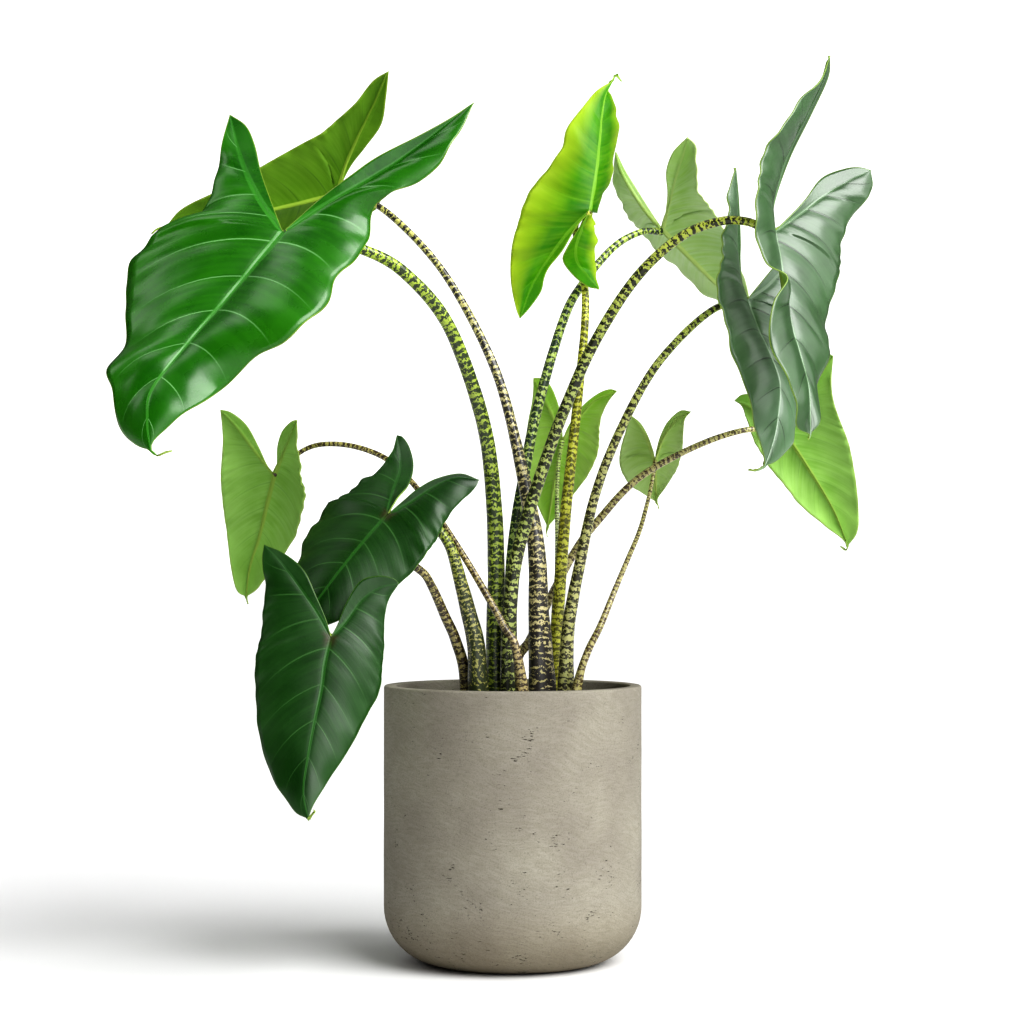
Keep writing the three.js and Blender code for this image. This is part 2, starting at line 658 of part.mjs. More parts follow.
for (const leaf of LEAVES) {
  const { sheet, up } = bladeSheet(leaf);
  const curve = stalkCurve(leaf, up);
  const stalkEnd = 1 - (KNUCKLE_LENGTH + GAP) / curve.getLength();
  const stalk = stalkGeometry(curve, leaf.radii, GAP / curve.getLength(), stalkEnd);
  stalkHoles.push(toSolid(stalkGeometry(curve, leaf.radii, 0, stalkEnd, GAP)));
  const bladeLook = { colour: leaf.colour, roughness: BLADE_ROUGHNESS };
  plant.add(namedMesh(`${leaf.name}_blade`, bladeGeometry(leaf, sheet, curve), bladeLook));
  plant.add(namedMesh(`${leaf.name}_stalk`, toGeometry(toSolid(stalk)), STALK_LOOK));
}

plant.add(namedMesh('pot', potGeometry(), POT_LOOK));
plant.add(namedMesh('soil', soilGeometry(stalkHoles), SOIL_LOOK));

export default plant;
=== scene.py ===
import bisect
import math
import random

import bmesh
import bpy
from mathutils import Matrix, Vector, noise


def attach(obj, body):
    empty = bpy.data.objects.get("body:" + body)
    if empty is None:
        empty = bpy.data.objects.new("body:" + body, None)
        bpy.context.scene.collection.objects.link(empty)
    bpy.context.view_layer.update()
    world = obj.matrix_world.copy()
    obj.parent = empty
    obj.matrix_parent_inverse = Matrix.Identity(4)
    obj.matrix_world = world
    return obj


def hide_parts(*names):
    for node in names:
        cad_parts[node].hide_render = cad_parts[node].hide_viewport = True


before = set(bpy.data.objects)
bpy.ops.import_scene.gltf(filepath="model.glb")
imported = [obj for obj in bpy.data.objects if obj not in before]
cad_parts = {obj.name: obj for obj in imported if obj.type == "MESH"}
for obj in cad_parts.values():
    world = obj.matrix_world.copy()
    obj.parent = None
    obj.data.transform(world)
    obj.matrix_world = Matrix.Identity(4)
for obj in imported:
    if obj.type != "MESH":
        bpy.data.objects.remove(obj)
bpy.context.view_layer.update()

# Potted zebra-stemmed alocasia. Lengths are written in millimetres and turned to metres by mm.
mm = 0.001
scene = bpy.context.scene
print("frame loaded")

# Camera, at the photograph's viewing angle
photo = {
    "size": 1024,  # pixels, square
    "focalLength": 2570,  # pixels
    "eye": (-0.7, -2500, 395),
    "tilt": 0.94,  # degrees upwards
    "sensor": 36,  # millimetres
}

cameraData = bpy.data.cameras.new("camera")
cameraData.sensor_width = photo["sensor"]
cameraData.lens = photo["focalLength"] / photo["size"] * photo["sensor"]
camera = bpy.data.objects.new("camera", cameraData)
camera.location = Vector(photo["eye"]) * mm
camera.rotation_euler = (math.radians(90 + photo["tilt"]), 0, 0)
scene.collection.objects.link(camera)
scene.camera = camera
scene.view_settings.view_transform = "Standard"
scene.view_settings.look = "High Contrast"
print("camera set")


# Small helpers
def linearColour(hexCode):
    # sRGB hex to the linear values that shaders work in
    shares = [int(hexCode[i:i + 2], 16) / 255 for i in (1, 3, 5)]
    linear = [s / 12.92 if s <= 0.04045 else ((s + 0.055) / 1.055) ** 2.4 for s in shares]
    return (*linear, 1.0)


def newMaterial(name):
    material = bpy.data.materials.new(name)
    material.use_nodes = True
    material.node_tree.nodes.clear()
    return material, material.node_tree


def addNode(tree, kind, inputs=None, out=0, **settings):
    # adds a node, sets or links its inputs, and gives back one of its outputs
    node = tree.nodes.new("ShaderNode" + kind)
    for name, value in settings.items():
        setattr(node, name, value)
    for key, value in (inputs or {}).items():
        if isinstance(value, bpy.types.NodeSocket):
            tree.links.new(value, node.inputs[key])
        else:
            node.inputs[key].default_value = value
    return node.outputs[out] if node.outputs else node


def paint(tree, base, layers):
    # lays colours over each other, each by its own share
    for share, colour in layers:
        base = addNode(tree, "Mix", {0: share, 6: base, 7: linearColour(colour)}, out=2, data_type="RGBA")
    return base


def relief(tree, layers):
    # adds up patterns, each by its own height in metres
    height = 0.0
    for pattern, rise in layers:
        height = addNode(tree, "Math", {0: pattern, 1: rise, 2: height}, operation="MULTIPLY_ADD")
    return height


def smoothLevel(low, high, value):
    share = min(max((value - low) / (high - low), 0), 1)
    return share * share * (3 - 2 * share)


def listValueAt(values, share):
    place = min(max(share, 0), 1) * (len(values) - 1)
    index = min(int(place), len(values) - 2)
    return values[index] + (values[index + 1] - values[index]) * (place - index)


# A smooth curve through points: a dense run of places, and how far along each one lies
curveSteps = 24


def smoothCurve(points):
    ends = [points[0] * 2 - points[1], *points, points[-1] * 2 - points[-2]]
    run = []
    for before, start, end, after in zip(ends, ends[1:], ends[2:], ends[3:]):
        for step in range(curveSteps):
            t = step / curveSteps
            linear = (end - before) * t
            square = (before * 2 - start * 5 + end * 4 - after) * t ** 2
            cube = (start * 3 - before - end * 3 + after) * t ** 3
            run.append((start * 2 + linear + square + cube) * 0.5)
    run.append(points[-1].copy())
    lengths = [0.0]
    for here, there in zip(run, run[1:]):
        lengths.append(lengths[-1] + (there - here).length)
    return run, lengths


def curvePoint(curve, share):
    run, lengths = curve
    distance = min(max(share, 0), 1) * lengths[-1]
    index = min(max(bisect.bisect_right(lengths, distance) - 1, 0), len(run) - 2)
    stretch = max(lengths[index + 1] - lengths[index], 1e-12)
    return run[index].lerp(run[index + 1], (distance - lengths[index]) / stretch)


def curveDirection(curve, share):
    near = 0.003  # share of the length, to either side
    return (curvePoint(curve, share + near) - curvePoint(curve, share - near)).normalized()


def away(vector, direction):
    # what is left of a vector once its part along a direction is taken off
    return (vector - direction * vector.dot(direction)).normalized()


def toPiece(mesh, name, materials, replaced):
    # turns a finished bmesh into an object at the origin that rides with the plant
    for face in mesh.faces:
        face.smooth = True
    data = bpy.data.meshes.new(name)
    mesh.to_mesh(data)
    mesh.free()
    piece = bpy.data.objects.new(name, data)
    scene.collection.objects.link(piece)
    for material in materials:
        data.materials.append(material)
    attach(piece, "root")
    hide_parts(*replaced)
    return piece


# Leaves. midrib, the outer margins left and right, the ribs and inner edges of the lobes, wave, stalk
# and radii have the meaning and the values of the solid parts; veins counts the side veins of the
# front and of a lobe, pucker is how far the blade swells between them, tail is the thin drip tip, and
# the rest picks colours.
leaves = {
    "leaf_large_left": {
        "midrib": [
            (-216, -90, 698), (-262, -118, 636), (-300, -150, 585), (-326, -176, 545), (-329, -190, 516),
            (-325, -196, 488),
        ],
        "left": [
            (-37, -50, 827), (-49, -64, 798), (-60, -74, 778), (-71, -81, 762), (-89, -83, 746),
            (-122, -84, 730), (-133, -83, 716), (-135, -88, 692), (-148, -110, 666), (-164, -127, 651),
            (-169, -147, 628), (-190, -164, 603), (-208, -168, 587), (-236, -164, 573),
            (-263, -165, 547), (-280, -178, 532), (-297, -186, 521), (-311, -190, 508),
            (-322, -194, 497),
        ],
        "right": [
            (-276, 0, 824), (-281, -18, 795), (-286, -34, 757), (-291, -42, 732), (-309, -46, 715),
            (-335, -52, 706), (-349, -56, 689), (-365, -60, 672), (-366, -74, 645), (-360, -115, 591),
            (-373, -148, 566), (-364, -158, 542), (-357, -168, 510), (-341, -185, 494),
        ],
        "leftRib": [(-172, -80, 727), (-107, -66, 769)],
        "rightRib": [(-238, -66, 728), (-255, -42, 760), (-267, -20, 791)],
        "leftInner": [
            (-182, -78, 731), (-154, -74, 753), (-128, -70, 772), (-88, -62, 794), (-58, -55, 812),
        ],
        "rightInner": [(-228, -66, 727), (-241, -42, 761), (-249, -24, 790), (-259, -10, 811)],
        "tail": [(-319, -199, 484), (-311, -200, 486), (-305, -200, 487)],
        "stalk": [
            (-16, -4, 206), (-17, -4, 312), (-16, -5, 375), (-19, -8, 454), (-30, -15, 528),
            (-62, -32, 615), (-103, -52, 663), (-141, -70, 683), (-182, -82, 691),
        ],
        "wave": [2, 2.5, 0.6], "veins": [6, 5], "pucker": 1.8, "radii": [10, 8.6, 7, 6, 4],
        "slot": "blade_green", "upper": "green", "under": "fresh", "skin": "olive",
    },
    "leaf_back_left": {
        "midrib": [(-177, 80, 757), (-235, 92, 745), (-295, 101, 735), (-353, 110, 728)],
        "left": [
            (-123, 45, 875), (-139, 50, 866), (-155, 55, 847), (-171, 61, 833), (-191, 66, 817),
            (-213, 72, 806), (-252, 82, 786), (-280, 88, 770), (-304, 94, 760), (-325, 99, 751),
            (-340, 103, 742),
        ],
        "right": [
            (-90, 160, 814), (-119, 155, 778), (-165, 138, 736), (-251, 132, 717), (-315, 122, 720),
        ],
        "leftRib": [(-167, 76, 788), (-153, 66, 816), (-135, 55, 849)],
        "rightRib": [(-134, 120, 789)],
        "leftInner": [(-163, 76, 784), (-147, 67, 803), (-131, 58, 824), (-126, 50, 849)],
        "rightInner": [(-153, 100, 780), (-116, 138, 803)],
        "tail": [(-362, 111, 726), (-368, 112, 722)],
        "stalk": [
            (30, -2, 206), (26, -2, 273), (25, 0, 331), (24, 4, 389), (17, 10, 438), (-6, 26, 542),
            (-29, 38, 604), (-68, 52, 674), (-112, 66, 725), (-150, 76, 753),
        ],
        "wave": [1.5, 2.5, 0], "veins": [6, 5], "pucker": 1, "radii": [11, 9.4, 5.2, 3.7, 3],
        "slot": "blade_olive", "upper": "green", "under": "olive", "skin": "sand",
    },
    "leaf_upright_lime": {
        "midrib": [(77, 20, 733), (84, 35, 780), (91, 65, 845), (101, 75, 871)],
        "left": [
            (7, 30, 627), (3, 30, 638), (-2, 30, 665), (-1, 30, 697), (7, 33, 728), (19, 38, 758),
            (34, 40, 776), (49, 38, 798), (54, 42, 818), (70, 56, 841), (84, 66, 859),
        ],
        "right": [
            (86, 45, 658), (82, 55, 681), (83, 65, 711), (81, 75, 743), (90, 82, 760), (98, 88, 773),
            (102, 95, 794), (106, 99, 817), (108, 99, 829), (105, 97, 839), (106, 93, 848),
            (97, 82, 862),
        ],
        "leftRib": [(58, 24, 716), (39, 28, 692), (20, 30, 662)],
        "rightRib": [(64, 30, 705), (63, 38, 686), (74, 43, 671)],
        "leftInner": [
            (62, 23, 716), (49, 26, 694), (36, 28, 678), (31, 29, 667), (28, 30, 654), (17, 30, 638),
        ],
        "rightInner": [(68, 24, 720), (53, 30, 695), (50, 34, 684), (61, 39, 670), (75, 43, 660)],
        "tail": [(104, 77, 876), (109, 78, 870)],
        "stalk": [
            (42, 26, 206), (42, 25, 301), (44, 26, 331), (46, 26, 360), (52, 28, 435), (63, 34, 536),
            (71, 46, 615), (72, 56, 660), (66, 54, 695), (62, 40, 716), (66, 27, 728),
        ],
        "wave": [1.5, 3, 1], "veins": [5, 4], "pucker": 1.5, "radii": [6.2, 6.3, 5.2, 4, 2.6],
        "slot": "blade_lime", "upper": "lime", "under": "lime", "skin": "yellow",
    },
    "leaf_back_right": {
        "midrib": [(153, 115, 726), (205, 144, 679), (249, 175, 643)],
        "left": [
            (106, 125, 807), (104, 137, 788), (108, 148, 766), (118, 156, 750), (130, 161, 733),
            (148, 166, 715), (166, 172, 698), (188, 179, 680), (208, 182, 663),
        ],
        "right": [
            (174, 50, 810), (183, 52, 800), (184, 57, 778), (186, 64, 760), (196, 74, 745),
            (207, 85, 735), (226, 115, 701), (242, 150, 671),
        ],
        "leftRib": [(138, 119, 743), (122, 122, 767), (111, 124, 788)],
        "rightRib": [(158, 100, 748), (164, 80, 773), (170, 63, 793)],
        "leftInner": [(141, 119, 745), (127, 122, 768), (115, 124, 788)],
        "rightInner": [(155, 102, 742), (156, 88, 759), (154, 75, 779), (159, 62, 795), (167, 55, 804)],
        "tail": [(254, 178, 639), (258, 179, 634)],
        "stalk": [
            (-8, 22, 206), (-6, 24, 301), (-3, 27, 360), (1, 31, 409), (9, 37, 461), (24, 50, 537),
            (50, 66, 627), (70, 76, 666), (102, 92, 705), (130, 105, 722),
        ],
        "wave": [1.5, 2.5, 2], "veins": [5, 4], "pucker": 1, "radii": [6.5, 5.6, 5.4, 4.5, 3],
        "slot": "blade_fresh", "upper": "green", "under": "frost", "skin": "pale",
    },
    "leaf_tall_right": {
        "midrib": [
            (245, -100, 697), (250, -121, 658), (255, -143, 610), (262, -155, 580), (269, -167, 546),
            (269, -180, 503),
        ],
        "left": [
            (345, -30, 765), (346, -34, 748), (335, -43, 730), (321, -53, 713), (312, -63, 690),
            (312, -68, 675), (303, -85, 644), (294, -100, 614), (292, -115, 591), (293, -122, 577),
            (283, -135, 557), (279, -155, 536), (279, -172, 515),
        ],
        "right": [
            (297, -105, 861), (288, -112, 839), (271, -120, 820), (252, -129, 795), (236, -135, 771),
            (226, -142, 744), (224, -148, 715), (225, -152, 684), (233, -156, 661), (249, -165, 646),
            (237, -175, 622), (233, -182, 599), (237, -186, 572), (250, -189, 545), (256, -190, 530),
            (256, -187, 510),
        ],
        "leftRib": [(271, -80, 716), (298, -60, 737), (323, -44, 753)],
        "rightRib": [(244, -101, 722), (255, -103, 763), (274, -104, 803), (290, -105, 836)],
        "leftInner": [
            (263, -86, 715), (278, -72, 732), (295, -55, 754), (319, -40, 765), (334, -34, 767),
        ],
        "rightInner": [(245, -100, 722), (259, -102, 764), (279, -104, 805), (295, -105, 840)],
        "tail": [(268, -182, 500), (267, -182, 498)],
        "stalk": [
            (-5, -21, 206), (-5, -21, 302), (-2, -22, 351), (3, -23, 389), (15, -25, 434),
            (32, -29, 486), (49, -34, 532), (77, -43, 595), (116, -57, 656), (157, -71, 694),
            (193, -83, 708), (220, -93, 707),
        ],
        "wave": [1.5, 2.5, 0.5], "veins": [6, 5], "pucker": 1.2, "radii": [7.5, 6.6, 5.6, 4.9, 3.8],
        "slot": "blade_grey", "upper": "grey", "under": "fresh", "skin": "black",
    },
    "leaf_front_right": {
        "midrib": [
            (226, -30, 640), (234, -45, 612), (246, -58, 583), (253, -69, 557), (251, -78, 531),
            (246, -86, 505), (236, -95, 477),
        ],
        "left": [
            (297, 45, 711), (298, 30, 654), (291, 5, 594), (276, -35, 541), (272, -52, 519),
            (264, -66, 500), (250, -84, 484),
        ],
        "right": [
            (214, -45, 765), (208, -52, 747), (203, -70, 713), (196, -82, 674), (194, -88, 645),
            (199, -96, 610), (207, -102, 580), (216, -106, 555), (222, -107, 529), (230, -106, 503),
            (235, -101, 487),
        ],
        "leftRib": [(247, -14, 655), (271, 8, 681)],
        "rightRib": [(219, -33, 660), (215, -38, 692), (215, -42, 730)],
        "leftInner": [(239, -20, 656), (259, 0, 680), (280, 25, 701)],
        "rightInner": [(221, -32, 656), (219, -35, 678), (219, -38, 696), (217, -42, 734)],
        "tail": [(228, -99, 473), (220, -101, 473)],
        "stalk": [
            (47, -16, 206), (52, -16, 307), (58, -16, 351), (65, -17, 386), (78, -18, 446),
            (96, -20, 497), (128, -23, 561), (159, -26, 601), (194, -29, 631),
        ],
        "wave": [1.5, 2.5, 2], "veins": [6, 5], "pucker": 1.2, "radii": [6.8, 6.2, 4.6, 4, 3.2],
        "slot": "blade_grey", "upper": "silver", "under": "fresh", "skin": "reed",
    },
    "leaf_low_right": {
        "midrib": [(270, 85, 523), (295, 97, 488), (325, 114, 442), (342, 125, 403)],
        "left": [
            (222, 74, 549), (231, 76, 541), (240, 80, 515), (254, 85, 489), (270, 92, 469),
            (291, 101, 445), (314, 112, 426), (334, 120, 412),
        ],
        "right": [
            (320, 62, 593), (319, 68, 569), (321, 72, 551), (328, 80, 532), (339, 92, 507),
            (347, 103, 475), (352, 114, 438), (351, 119, 417),
        ],
        "leftRib": [(245, 79, 539)],
        "rightRib": [(294, 75, 554)],
        "leftInner": [(258, 81, 539), (241, 77, 554), (230, 75, 555)],
        "rightInner": [(279, 79, 546), (293, 71, 572), (310, 64, 595)],
        "tail": [(340, 127, 400), (335, 127, 403)],
        "stalk": [
            (1, 38, 206), (3, 38, 285), (17, 42, 310), (36, 48, 349), (62, 54, 398), (83, 56, 426),
            (122, 58, 468), (173, 57, 498), (224, 58, 517),
        ],
        "wave": [1.5, 2.5, 1], "veins": [5, 4], "pucker": 0.8, "radii": [5, 4.4, 3.9, 3.2, 2.6],
        "slot": "blade_fresh", "upper": "green", "under": "fresh", "skin": "straw",
    },
    "leaf_small_back_right": {
        "midrib": [(144, 100, 491), (146, 133, 471), (149, 165, 449)],
        "left": [
            (119, 75, 534), (113, 85, 517), (108, 100, 494), (111, 113, 478), (123, 131, 464),
            (140, 150, 454),
        ],
        "right": [
            (179, 75, 538), (173, 79, 530), (172, 88, 515), (171, 98, 497), (167, 115, 482),
            (160, 132, 468), (152, 152, 456),
        ],
        "leftRib": [(135, 88, 513), (126, 81, 526)],
        "rightRib": [(152, 88, 513), (165, 81, 530)],
        "leftInner": [(142, 95, 500), (137, 90, 511), (129, 82, 526)],
        "rightInner": [(145, 95, 500), (149, 90, 513), (156, 84, 528), (168, 78, 539)],
        "tail": [(151, 170, 446), (152, 173, 443)],
        "stalk": [
            (49, -32, 206), (62, -30, 270), (72, -28, 301), (85, -22, 327), (99, -8, 360),
            (113, 15, 391), (125, 40, 417), (134, 68, 444), (141, 92, 470),
        ],
        "wave": [1, 2, 0], "veins": [4, 3], "pucker": 0.8, "radii": [6, 3.7, 2.7, 2.2, 1.8],
        "slot": "blade_olive", "upper": "green", "under": "pale", "skin": "straw",
    },
    "leaf_small_back_middle": {
        "midrib": [(51, 115, 512), (43, 132, 469), (36, 150, 423)],
        "left": [
            (21, 90, 573), (20, 100, 552), (15, 109, 526), (12, 118, 496), (17, 130, 466),
            (26, 140, 444), (32, 147, 431),
        ],
        "right": [
            (105, 80, 559), (97, 86, 549), (90, 94, 535), (88, 100, 516), (86, 107, 496), (77, 116, 476),
            (63, 127, 457), (49, 140, 438),
        ],
        "leftRib": [(37, 102, 542)],
        "rightRib": [(65, 105, 530), (82, 92, 549)],
        "leftInner": [(50, 108, 526), (47, 101, 544), (39, 93, 564), (30, 91, 572)],
        "rightInner": [(57, 108, 526), (70, 99, 544), (85, 90, 556), (97, 83, 561)],
        "tail": [(35, 153, 418), (36, 155, 413)],
        "stalk": [
            (41, 52, 206), (43, 56, 310), (44, 66, 359), (45, 84, 404), (45, 102, 456), (47, 111, 491),
        ],
        "wave": [1, 2, 1], "veins": [5, 4], "pucker": 0.8, "radii": [3.5, 2.7, 2.5, 2.3, 2],
        "slot": "blade_fresh", "upper": "green", "under": "spring", "skin": "fleck",
    },
    "leaf_small_left": {
        "midrib": [(-236, 50, 474), (-245, 62, 443), (-254, 76, 411), (-264, 87, 383), (-269, 95, 352)],
        "left": [
            (-287, 20, 537), (-286, 33, 508), (-290, 52, 467), (-287, 72, 421), (-283, 85, 379),
            (-278, 92, 358),
        ],
        "right": [
            (-208, -20, 525), (-209, -6, 504), (-207, 12, 475), (-204, 26, 450), (-212, 46, 422),
            (-227, 62, 396), (-248, 80, 371), (-258, 89, 359),
        ],
        "leftRib": [(-254, 42, 496), (-271, 31, 519)],
        "rightRib": [(-224, 18, 495)],
        "leftInner": [(-243, 46, 483), (-251, 40, 501), (-262, 31, 522), (-276, 24, 534)],
        "rightInner": [(-232, 38, 484), (-230, 18, 501), (-224, 0, 515), (-215, -14, 523)],
        "tail": [(-268, 97, 348), (-267, 98, 345)],
        "stalk": [
            (12, -46, 206), (4, -46, 299), (-9, -44, 327), (-22, -40, 351), (-51, -22, 399),
            (-83, 0, 446), (-114, 20, 481), (-142, 32, 497), (-176, 42, 504), (-206, 49, 499),
        ],
        "wave": [1, 2.5, 0.4], "veins": [5, 4], "pucker": 0.8, "radii": [6.5, 3.7, 3, 2.7, 2.2],
        "slot": "blade_fresh", "upper": "green", "under": "fresh", "skin": "tan",
    },
    "leaf_dark_middle": {
        "midrib": [(-119, -60, 433), (-142, -73, 406), (-167, -88, 374), (-201, -98, 326)],
        "left": [
            (-32, -50, 466), (-36, -54, 458), (-49, -60, 445), (-61, -66, 431), (-71, -76, 411),
            (-87, -83, 387), (-108, -87, 366), (-133, -92, 349), (-169, -97, 330),
        ],
        "right": [
            (-113, 5, 511), (-118, -6, 493), (-131, -10, 477), (-158, -11, 456), (-173, -10, 445),
            (-180, -9, 445), (-189, -12, 429), (-201, -22, 408), (-206, -44, 385), (-208, -67, 358),
        ],
        "leftRib": [(-98, -58, 444), (-77, -55, 458), (-55, -52, 468)],
        "rightRib": [(-115, -40, 455), (-109, -15, 480)],
        "leftInner": [(-104, -58, 446), (-91, -56, 457), (-73, -54, 467), (-50, -51, 472)],
        "rightInner": [
            (-110, -50, 449), (-100, -32, 462), (-96, -14, 480), (-100, -2, 498), (-107, 3, 509),
        ],
        "tail": [(-205, -100, 321), (-207, -101, 316)],
        "stalk": [
            (-32, -30, 206), (-34, -30, 288), (-36, -30, 312), (-43, -30, 341), (-50, -31, 368),
            (-61, -32, 404), (-80, -36, 426), (-104, -46, 432),
        ],
        "wave": [1.5, 3, 1], "veins": [5, 4], "pucker": 0.5, "radii": [10, 9.7, 7.4, 5, 3.2],
        "slot": "blade_dark", "upper": "dark", "under": "fresh", "skin": "moss",
    },
    "leaf_dark_front": {
        "midrib": [
            (-167, -140, 319), (-172, -146, 296), (-175, -152, 271), (-181, -161, 240),
            (-186, -170, 209), (-189, -178, 181), (-184, -184, 157),
        ],
        "left": [
            (-105, -122, 368), (-114, -123, 354), (-118, -125, 339), (-119, -129, 307),
            (-122, -136, 272), (-133, -143, 248), (-149, -155, 218), (-166, -168, 191),
            (-179, -179, 170),
        ],
        "right": [
            (-232, -104, 404), (-233, -108, 390), (-230, -115, 362), (-232, -122, 330),
            (-237, -130, 293), (-236, -138, 257), (-230, -148, 221), (-221, -158, 196),
            (-207, -168, 176), (-196, -178, 162),
        ],
        "leftRib": [(-153, -134, 334), (-139, -128, 353), (-123, -124, 364)],
        "rightRib": [(-180, -134, 341), (-197, -124, 364), (-216, -113, 388)],
        "leftInner": [
            (-161, -136, 331), (-153, -130, 351), (-141, -124, 370), (-125, -121, 375),
            (-111, -121, 373),
        ],
        "rightInner": [(-172, -136, 336), (-182, -128, 358), (-194, -119, 381), (-213, -109, 396)],
        "tail": [(-180, -187, 162), (-177, -188, 164)],
        "stalk": [
            (-43, -14, 206), (-46, -16, 277), (-55, -22, 312), (-65, -26, 335), (-78, -36, 365),
            (-88, -40, 379), (-108, -48, 387), (-136, -60, 366), (-157, -90, 322),
        ],
        "wave": [1.5, 2.5, 0], "veins": [5, 4], "pucker": 0.5, "radii": [7, 5.4, 4, 3.5, 3],
        "slot": "blade_dark", "upper": "dark", "under": "fresh", "skin": "umber",
    },
}

bladeShape = {
    "arch": 0.16,  # rise of a blade half between rib and margin, as a share of its width
    "veinLean": 0.14,  # how far side veins start back from their margin end, same share
    "marginSplit": 0.38,  # share of the outer margin that belongs to the lobe
    "waveFade": 0.25,  # the margin's waves die out over this stretch before each tip
    "sidePhase": 1.7,  # the right margin's waves start this much later than the left's
    "frill": 0.9,  # height of the finer second wave of the margin
    "frillTurns": 7.0,
    "dents": 1.4,  # height of slow dents at the margin
    "dentSize": 33,  # how far apart they are
    "thickness": 0.8,
    "ribHeight": 3.4,  # how thick the midrib stands at the joint, mostly below the blade
    "ribHalfWidth": 3.0,
    "ribSlimming": 0.8,  # how much of its width and height the rib loses on its way to a tip
    "veinHeight": 0.16,  # side veins below the blade, as a share of the midrib's height
    "veinHalfWidth": 1.2,
    "grooveDepth": 0.7,  # the groove along the top of the midrib, at the joint
    "grooveHalfWidth": 2.2,
    "tailHalfWidth": 1.5,
    "firstVein": 0.7,  # the joint's place between two side veins
    "lean": 0.8,  # how far a side vein runs on to its tip on its way to the margin, in vein spacings
    "fullWidth": 28,  # where the blade is narrower than this, it is smoother too
    "rowsPerVein": 11,
    "tailRows": 8,
    "across": 20,
    "strip": 6,
    "stripVeinSpacing": 20,  # of the low veins below a lobe's inner strip
}


def bladeGuides(leaf):
    joint, *_, tip = [Vector(point) for point in leaf["midrib"]]
    lobes = [Vector(leaf["left"][0]), Vector(leaf["right"][0])]
    up = (tip - joint).cross(lobes[0] - lobes[1]).normalized()
    sides = []
    for index, sideName in enumerate(("left", "right")):
        margin = smoothCurve([*(Vector(point) for point in leaf[sideName]), tip])
        rib = smoothCurve([joint, *(Vector(point) for point in leaf[sideName + "Rib"]), lobes[index]])
        inner = smoothCurve([joint, *(Vector(point) for point in leaf[sideName + "Inner"]), lobes[index]])
        phase = leaf["wave"][2] + bladeShape["sidePhase"] * index
        sides.append({"margin": margin, "rib": rib, "inner": inner, "phase": phase})
    midrib = smoothCurve([Vector(point) for point in leaf["midrib"]])
    tail = smoothCurve([tip, *(Vector(point) for point in leaf["tail"])])
    return {"joint": joint, "up": up, "sides": sides, "midrib": midrib, "tail": tail}


def stationAt(leaf, row):
    # row number to its vein place and its station: -1 lobe tip, 0 joint, 1 front tip, then the tail
    frontVeins, lobeVeins = leaf["veins"]
    lastRow = bladeShape["rowsPerVein"] * (frontVeins + lobeVeins)
    if row > lastRow:
        station = 1 + (row - lastRow) / bladeShape["tailRows"]
        return bladeShape["firstVein"] + frontVeins, station
    place = row / bladeShape["rowsPerVein"] - lobeVeins
    station = place / frontVeins if place >= 0 else place / lobeVeins
    return place + bladeShape["firstVein"], station


def ribAndMargin(guides, side, station):
    # where a row starts on its rib and ends on the margin, and which way the rib runs there
    split = bladeShape["marginSplit"]
    if station < 0:
        rib = curvePoint(side["rib"], -station)
        margin = curvePoint(side["margin"], split * (1 + station))
        return rib, margin, -curveDirection(side["rib"], -station)
    if station <= 1:
        rib = curvePoint(guides["midrib"], station)
        margin = curvePoint(side["margin"], split + (1 - split) * station)
        direction = curveDirection(guides["midrib"], station)
    else:
        rib = curvePoint(guides["tail"], station - 1)
        margin = rib.copy()
        direction = curveDirection(guides["tail"], station - 1)
    # the tail narrows to its end, and keeps the tilt that the blade has shortly before its tip
    narrowest = bladeShape["tailHalfWidth"] * min(1, 2.05 - station)
    if (margin - rib).length < narrowest:
        steady = curvePoint(side["margin"], 0.9) - curvePoint(guides["midrib"], 0.84)
        margin = rib + away(steady, direction) * narrowest
    return rib, margin, direction


